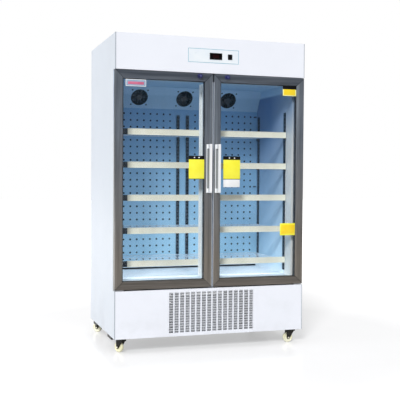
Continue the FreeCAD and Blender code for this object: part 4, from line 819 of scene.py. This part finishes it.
FILM_HALF = 0.166
FILM_LOW, FILM_HIGH = 1.7500, 1.8400
FILM_THICKNESS = 0.0004
FILM_FACE = HEADER_FACE - FILM_THICKNESS
BORDER_INSET = 0.003
BORDER_WIDTH = 0.0022
UNIT_LOW, UNIT_HIGH = low("control_unit"), high("control_unit")
UNIT_LEVEL = (UNIT_LOW.z + UNIT_HIGH.z) / 2
BEZEL_WIDTH = 0.080
SWITCH_SIZE = (0.028, 0.032)
OPENING_GAP = 0.0005
WINDOW_MARGIN = 0.004
WINDOW_THICKNESS = 0.0004
DIGIT_WIDE, DIGIT_TALL, STROKE = 0.008, 0.018, 0.0020
DIGIT_START, DIGIT_PITCH = 0.026, 0.014
# Middles of a digit's seven bars, in half widths and half heights: top, upper left, upper
# right, middle, lower left, lower right, bottom
BARS = ((0, 1), (-1, 0.5), (1, 0.5), (0, 0), (-1, -0.5), (1, -0.5), (0, -1))


def control_openings():
    """Left, right, bottom and top of the film's openings for the bezel and the switch."""
    wide, tall = SWITCH_SIZE
    return (
        (UNIT_LOW.x - OPENING_GAP, UNIT_LOW.x + BEZEL_WIDTH + OPENING_GAP,
         UNIT_LOW.z - OPENING_GAP, UNIT_HIGH.z + OPENING_GAP),
        (UNIT_HIGH.x - wide - OPENING_GAP, UNIT_HIGH.x + OPENING_GAP,
         UNIT_LEVEL - tall / 2 - OPENING_GAP, UNIT_LEVEL + tall / 2 + OPENING_GAP),
    )


def make_controls(looks):
    """Control film round the controller and the switch, and its line border."""
    bezel, switch = control_openings()
    form = bmesh.new()
    for left, right, bottom, top in (
            (-FILM_HALF, bezel[0], FILM_LOW, FILM_HIGH),
            (bezel[0], bezel[1], FILM_LOW, bezel[2]), (bezel[0], bezel[1], bezel[3], FILM_HIGH),
            (bezel[1], switch[0], FILM_LOW, FILM_HIGH),
            (switch[0], switch[1], FILM_LOW, switch[2]),
            (switch[0], switch[1], switch[3], FILM_HIGH),
            (switch[1], FILM_HALF, FILM_LOW, FILM_HIGH)):
        add_block(form, Vector((left, FILM_FACE, bottom)), Vector((right, HEADER_FACE, top)))
    new_piece("control_film", form, "cabinet", looks["panel"])
    form = bmesh.new()
    left, right = -FILM_HALF + BORDER_INSET, FILM_HALF - BORDER_INSET
    bottom, top = FILM_LOW + BORDER_INSET, FILM_HIGH - BORDER_INSET
    line = BORDER_WIDTH
    for x_low, x_high, z_low, z_high in (
            (left, right, top - line, top), (left, right, bottom, bottom + line),
            (left, left + line, bottom + line, top - line),
            (right - line, right, bottom + line, top - line)):
        add_block(form, Vector((x_low, FILM_FACE - 0.0002, z_low)),
                  Vector((x_high, FILM_FACE, z_high)))
    new_piece("control_border", form, "cabinet", looks["line"])


def make_display(looks):
    """Dark display window with three unlit digits on its face."""
    front = UNIT_LOW.y
    window = front - WINDOW_THICKNESS
    form = bmesh.new()
    add_block(form, Vector((UNIT_LOW.x + WINDOW_MARGIN, window, UNIT_LOW.z + WINDOW_MARGIN)),
              Vector((UNIT_LOW.x + BEZEL_WIDTH - WINDOW_MARGIN, front,
                      UNIT_HIGH.z - WINDOW_MARGIN)), 0.00018)
    new_piece("display_window", form, "cabinet", looks["display"],
              smooth=True)
    form = bmesh.new()
    level_bar = (DIGIT_WIDE / 2 - STROKE / 2, STROKE / 2)
    upright_bar = (STROKE / 2, DIGIT_TALL / 4 - STROKE / 2)
    for place in range(3):
        centre = UNIT_LOW.x + DIGIT_START + place * DIGIT_PITCH
        for across, up in BARS:
            x = centre + across * DIGIT_WIDE / 2
            z = UNIT_LEVEL + up * DIGIT_TALL / 2
            wide, tall = upright_bar if across else level_bar
            add_block(form, Vector((x - wide, window - 0.0002, z - tall)),
                      Vector((x + wide, window, z + tall)))
    new_piece("display_digits", form, "cabinet", looks["segment"])


# Locks

LOCK_REACH = 0.022  # how far the barrel stands in front of the door frame
# Radius and distance from the door frame
BARREL_PROFILE = ((0.0076, 0.0017), (0.0076, LOCK_REACH - 0.0010), (0.0084, LOCK_REACH),
                  (0.0108, LOCK_REACH), (0.0124, LOCK_REACH - 0.0016), (0.0130, 0.0050),
                  (0.0146, 0.0036), (0.0150, 0.0002), (0.0123, 0.0002), (0.0123, 0.0017))
PLUG_PROFILE = ((0.0001, 0.0012), (0.0001, LOCK_REACH - 0.0012),
                (0.0062, LOCK_REACH - 0.0012), (0.0070, LOCK_REACH - 0.0020),
                (0.0070, 0.0012))
KEYHOLE_HALF = Vector((0.0009, 0.0040))


def make_locks(looks):
    """Blue barrel round each lock, with the plug's face and its keyhole at the front."""
    forward = Vector((0, -1, 0))
    for name in SIDES:
        place = joint(f"lock_{name}_turn")[0]
        centre = Vector((place.x, DOOR_FACE, place.z))
        form = bmesh.new()
        add_revolved(form, BARREL_PROFILE, centre, forward, 40)
        new_piece(f"lock_barrel_{name}", form, f"door_{name}", looks["lock"],
                  smooth=True)
        form = bmesh.new()
        add_revolved(form, PLUG_PROFILE, centre, forward, 32)
        new_piece(f"lock_face_{name}", form, f"lock_{name}", looks["lock_face"],
                  smooth=True)
        form = bmesh.new()
        face = centre.y - LOCK_REACH + 0.0012
        half = KEYHOLE_HALF
        add_block(form, Vector((centre.x - half.x, face - 0.0003, centre.z - half.y)),
                  Vector((centre.x + half.x, face + 0.0001, centre.z + half.y)), 0.0001)
        new_piece(f"keyhole_{name}", form, f"lock_{name}", looks["card_black"])


# Casters

# Radius and distance from the middle plane of one half of the wheel, in millimetres
WHEEL_HALF = ((4.1, 11.0), (10.0, 11.0), (11.0, 10.2), (12.0, 8.4), (24.5, 8.4), (26.0, 9.4),
              (27.0, 10.4), (29.5, 9.6), (31.2, 7.6), (32.2, 4.4), (32.5, 0.0))
CAP_PROFILE = ((0.0001, 0.0190), (0.0001, 0.0225), (0.0030, 0.0225), (0.0055, 0.0208),
               (0.0062, 0.0190))
CASTER_PLATE = 0.090
BAR_GAP = 0.0006
BAR_LENGTH = 0.110
BAR_THICKNESS = 0.0190
BAR_REACH = 0.0085  # how far a bar stands out past its caster plate


def make_wheels(looks):
    """Nylon wheels with a crowned tread, dished sides and a raised hub."""
    other_half = [(radius, -along) for radius, along in reversed(WHEEL_HALF[:-1])]
    profile = [(radius * MM, along * MM) for radius, along in [*WHEEL_HALF, *other_half]]
    for corner in CORNERS:
        form = bmesh.new()
        add_revolved(form, profile, *joint(f"caster_{corner}_roll"), 48)
        new_piece(f"wheel_{corner}_tread", form, f"wheel_{corner}", looks["wheel"],
                  (f"caster_wheel_{corner}",), smooth=True)


def make_axle_caps(looks):
    """Bright nut faces over the ends of each wheel's axle."""
    for corner in CORNERS:
        centre, axis = joint(f"caster_{corner}_roll")
        form = bmesh.new()
        for way in (-1, 1):
            add_revolved(form, CAP_PROFILE, centre, way * axis, 24)
        new_piece(f"axle_cap_{corner}", form, f"fork_{corner}", looks["zinc"],
                  smooth=True)


def make_caster_rails(looks):
    """Dark bars beside the caster plates, along the cabinet's underside."""
    first, last = low("caster_plates"), high("caster_plates")
    form = bmesh.new()
    for side in (-1, 1):
        inner, outer = sorted((side * (last.x + BAR_REACH), side * (last.x - CASTER_PLATE)))
        for start, way in ((first.y + CASTER_PLATE + BAR_GAP, 1),
                           (last.y - CASTER_PLATE - BAR_GAP, -1)):
            near, far = sorted((start, start + way * BAR_LENGTH))
            add_block(form, Vector((inner, near, last.z - BAR_THICKNESS)),
                      Vector((outer, far, last.z - 0.0002)), 0.0010)
    new_piece("caster_rails", form, "cabinet", looks["fork"])


# Mullion cover

COVER_HALF = 0.051
COVER_THICKNESS = 0.0022
COVER_GAP = 0.0002
COVER_END = 0.004       # distance of the cover's ends from the mullion's
COVER_CHAMFER = 0.0012
LIP_WIDTH = 0.004
LIP_DEPTH = 0.0068
LIP_END = 0.006


def make_mullion_cover(looks):
    """Pale cover strip on the rear of the centre mullion, wider than the mullion itself."""
    first, last = low("centre_mullion"), high("centre_mullion")
    front = last.y + COVER_GAP
    rear = front + COVER_THICKNESS
    end = COVER_END + COVER_CHAMFER
    form = bmesh.new()
    rings = []
    for inset, level in ((COVER_CHAMFER, first.z + COVER_END), (0.0, first.z + end),
                         (0.0, last.z - end), (COVER_CHAMFER, last.z - COVER_END)):
        half = COVER_HALF - inset
        rings.append([form.verts.new((x, y, level)) for x, y in (
            (-half, front), (half, front), (half, rear), (-half, rear))])
    add_loft(form, rings)
    for side in (-1, 1):
        near, far = sorted((side * (COVER_HALF - LIP_WIDTH), side * (COVER_HALF - 2 * LIP_WIDTH)))
        add_block(form, Vector((near, front - LIP_DEPTH, first.z + LIP_END)),
                  Vector((far, front, last.z - LIP_END)), 0.0006)
    new_piece("mullion_cover", form, "cabinet", looks["mullion"])


# Dressing the construction nodes

def dress_nodes(looks):
    plan = {
        "cabinet": ("header_panel", "kick_panel", "top_panel"),
        "side": ("side_panel_left", "side_panel_right"),
        "grey": ("base_frame", "condenser_shroud"),
        "spangle": ("rear_panel",),
        "cover": ("rear_vent_cover",),
        "louvre": ("grille_louvres",),
        "liner": ("inner_liner", "front_surround"),
        "fan_plate": ("fan_plate",),
        "mullion": ("centre_mullion",),
        "foam": ("wall_insulation",),
        "plated": ("hinge_brackets",),
        "bracket": ("shelf_clips",),
        "standard": ("shelf_standards",),
        "black": ("fan_housings",),
        "switch": ("control_unit", "switch_rocker"),
        "rotor": ("fan_rotor_1", "fan_rotor_2", "fan_rotor_3", "condenser_fan"),
        "coil": ("evaporator_coil",),
        "fins": ("condenser",),
        "compressor": ("compressor",),
        "lamp": ("interior_lamp",),
        "door": ("door_left_frame", "door_right_frame"),
        "seal": ("door_left_seals", "door_right_seals"),
        "glass": ("door_left_glass", "door_right_glass"),
        "handle": ("door_left_handle", "door_right_handle"),
        "lock": ("lock_plug_left", "lock_plug_right"),
        "fork": ("caster_plates",) + tuple(f"caster_fork_{corner}" for corner in CORNERS),
        "wheel": tuple(f"caster_wheel_{corner}" for corner in CORNERS),
        "rack": tuple(f"shelf_{side}_{level}" for side in SIDES for level in LEVELS),
        "strip": ("ticket_strips",),
        "duct": ("duct_panel",),
    }
    for look, names in plan.items():
        for name in names:
            mesh = nodes[name].data
            for index in range(len(mesh.materials)):
                mesh.materials[index] = looks[look]
            if not mesh.materials:
                mesh.materials.append(looks[look])


# Stage and light

FLOOR_HALF = 30.0
FADE_START, FADE_END = 1.4, 4.5  # distances between which the floor turns fully white
FLOOR_GLOW = 0.42
WORLD_STRENGTH = 0.34
COLUMN_MIDDLE = 0.28             # X of a column of racks, to either side
RACK_LIGHT_FRONT = -0.205
# Height, vertical size and power of the soft lights behind the fronts of the racks
RACK_LIGHTS = ((0.468, 0.050, 0.24), (0.625, 0.150, 0.15), (0.827, 0.150, 0.15),
               (1.029, 0.150, 0.14), (1.231, 0.150, 0.10), (1.440, 0.150, 0.10))


def floor_paint():
    """Pale glossy floor that fades into the white surroundings but keeps its shadows."""
    make = Surface("floor_paint", 0.16)
    make.colour(make.blend(make.span(make.noise(0.8), 0.3, 0.7), (204, 204, 205),
                           (210, 210, 211)))
    make.set(IOR=1.22, Emission_Color=(1.0, 1.0, 1.0, 1.0))
    reach = make.add("ShaderNodeVectorMath", operation="LENGTH")
    make.link(make.place, reach.inputs[0])
    path = make.add("ShaderNodeLightPath")
    seen = path.outputs["Is Camera Ray"]
    for ray in ("Is Glossy Ray", "Is Transmission Ray"):
        seen = make.math("MAXIMUM", seen, path.outputs[ray])
    glow = make.span(reach.outputs["Value"], FADE_START, FADE_END, FLOOR_GLOW, 1.0)
    make.link(make.math("MULTIPLY", glow, seen), make.shader.inputs["Emission Strength"])
    return make.material


def make_stage():
    half = FLOOR_HALF
    mesh = bpy.data.meshes.new("floor")
    mesh.from_pydata([(-half, -half, 0), (half, -half, 0), (half, half, 0), (-half, half, 0)],
                     [], [(0, 1, 2, 3)])
    floor = bpy.data.objects.new("floor", mesh)
    bpy.context.scene.collection.objects.link(floor)
    mesh.materials.append(floor_paint())


def make_world():
    """White where the camera sees it, also through glass, and a plain level of light else."""
    world = bpy.data.worlds.new("studio")
    bpy.context.scene.world = world
    world.use_nodes = True
    tree = world.node_tree
    background = tree.nodes["Background"]
    path = tree.nodes.new("ShaderNodeLightPath")
    seen = tree.nodes.new("ShaderNodeMath")
    seen.operation = "MAXIMUM"
    tree.links.new(path.outputs["Is Camera Ray"], seen.inputs[0])
    tree.links.new(path.outputs["Is Transmission Ray"], seen.inputs[1])
    strength = tree.nodes.new("ShaderNodeMapRange")
    strength.inputs["To Min"].default_value = WORLD_STRENGTH
    strength.inputs["To Max"].default_value = 1.0
    tree.links.new(seen.outputs[0], strength.inputs["Value"])
    tree.links.new(strength.outputs["Result"], background.inputs["Strength"])
    background.inputs["Color"].default_value = (1.0, 1.0, 1.0, 1.0)


def aim_light(data, place, way):
    """Put a light into the scene so that it shines a given way."""
    light = bpy.data.objects.new(data.name, data)
    bpy.context.scene.collection.objects.link(light)
    light.matrix_world = (Matrix.Translation(place)
                          @ way.to_track_quat("-Z", "Y").to_matrix().to_4x4())


def area_light(name, place, target, size, power):
    data = bpy.data.lights.new(name, "AREA")
    data.shape = "RECTANGLE"
    data.size, data.size_y = size
    data.energy = power
    aim_light(data, Vector(place), Vector(target) - Vector(place))


def sun_light(name, direction, strength, spread):
    """Soft light from far away, so that the lower shelves are lit and the upper ones less."""
    data = bpy.data.lights.new(name, "SUN")
    data.energy = strength
    data.angle = spread
    aim_light(data, Vector(), Vector(direction))


def make_lights():
    """Light from outside, and small lights that brighten the inside as the photo shows it."""
    sun_light("high", direction=(0.46, 0.74, -0.56), strength=2.4, spread=math.radians(14))
    area_light("left", place=(-5.0, 0.2, 2.4), target=(0.0, 0.0, 0.9), size=(2.6, 2.6),
               power=42.0)
    area_light("overhead", place=(0.0, 0.8, 6.0), target=(0.0, 0.8, 0.0), size=(7.0, 7.0),
               power=140.0)
    for name, side in SIDES.items():
        x = side * COLUMN_MIDDLE
        area_light(f"floor_{name}", place=(x, 0.02, 0.480), target=(x, 0.0201, 0.430),
                   size=(0.50, 0.56), power=0.40)
        for level, (height, tall, power) in enumerate(RACK_LIGHTS):
            area_light(f"rack_{name}_{level}", place=(x, RACK_LIGHT_FRONT, height),
                       target=(x, 0.20, height - 0.03), size=(0.48, tall), power=power)


def main():
    bpy.context.scene.view_settings.view_transform = "Standard"
    make_camera()
    make_stage()
    make_world()
    make_lights()
    looks = build_materials()
    dress_nodes(looks)
    for side in SIDES:
        for level in LEVELS:
            make_rack(side, level, looks)
    make_ticket_strips(looks)
    make_end_brackets(looks)
    make_duct_panel(looks)
    make_fan_screws(looks)
    make_labels(looks)
    make_controls(looks)
    make_display(looks)
    make_locks(looks)
    make_wheels(looks)
    make_axle_caps(looks)
    make_mullion_cover(looks)
    make_caster_rails(looks)


main()
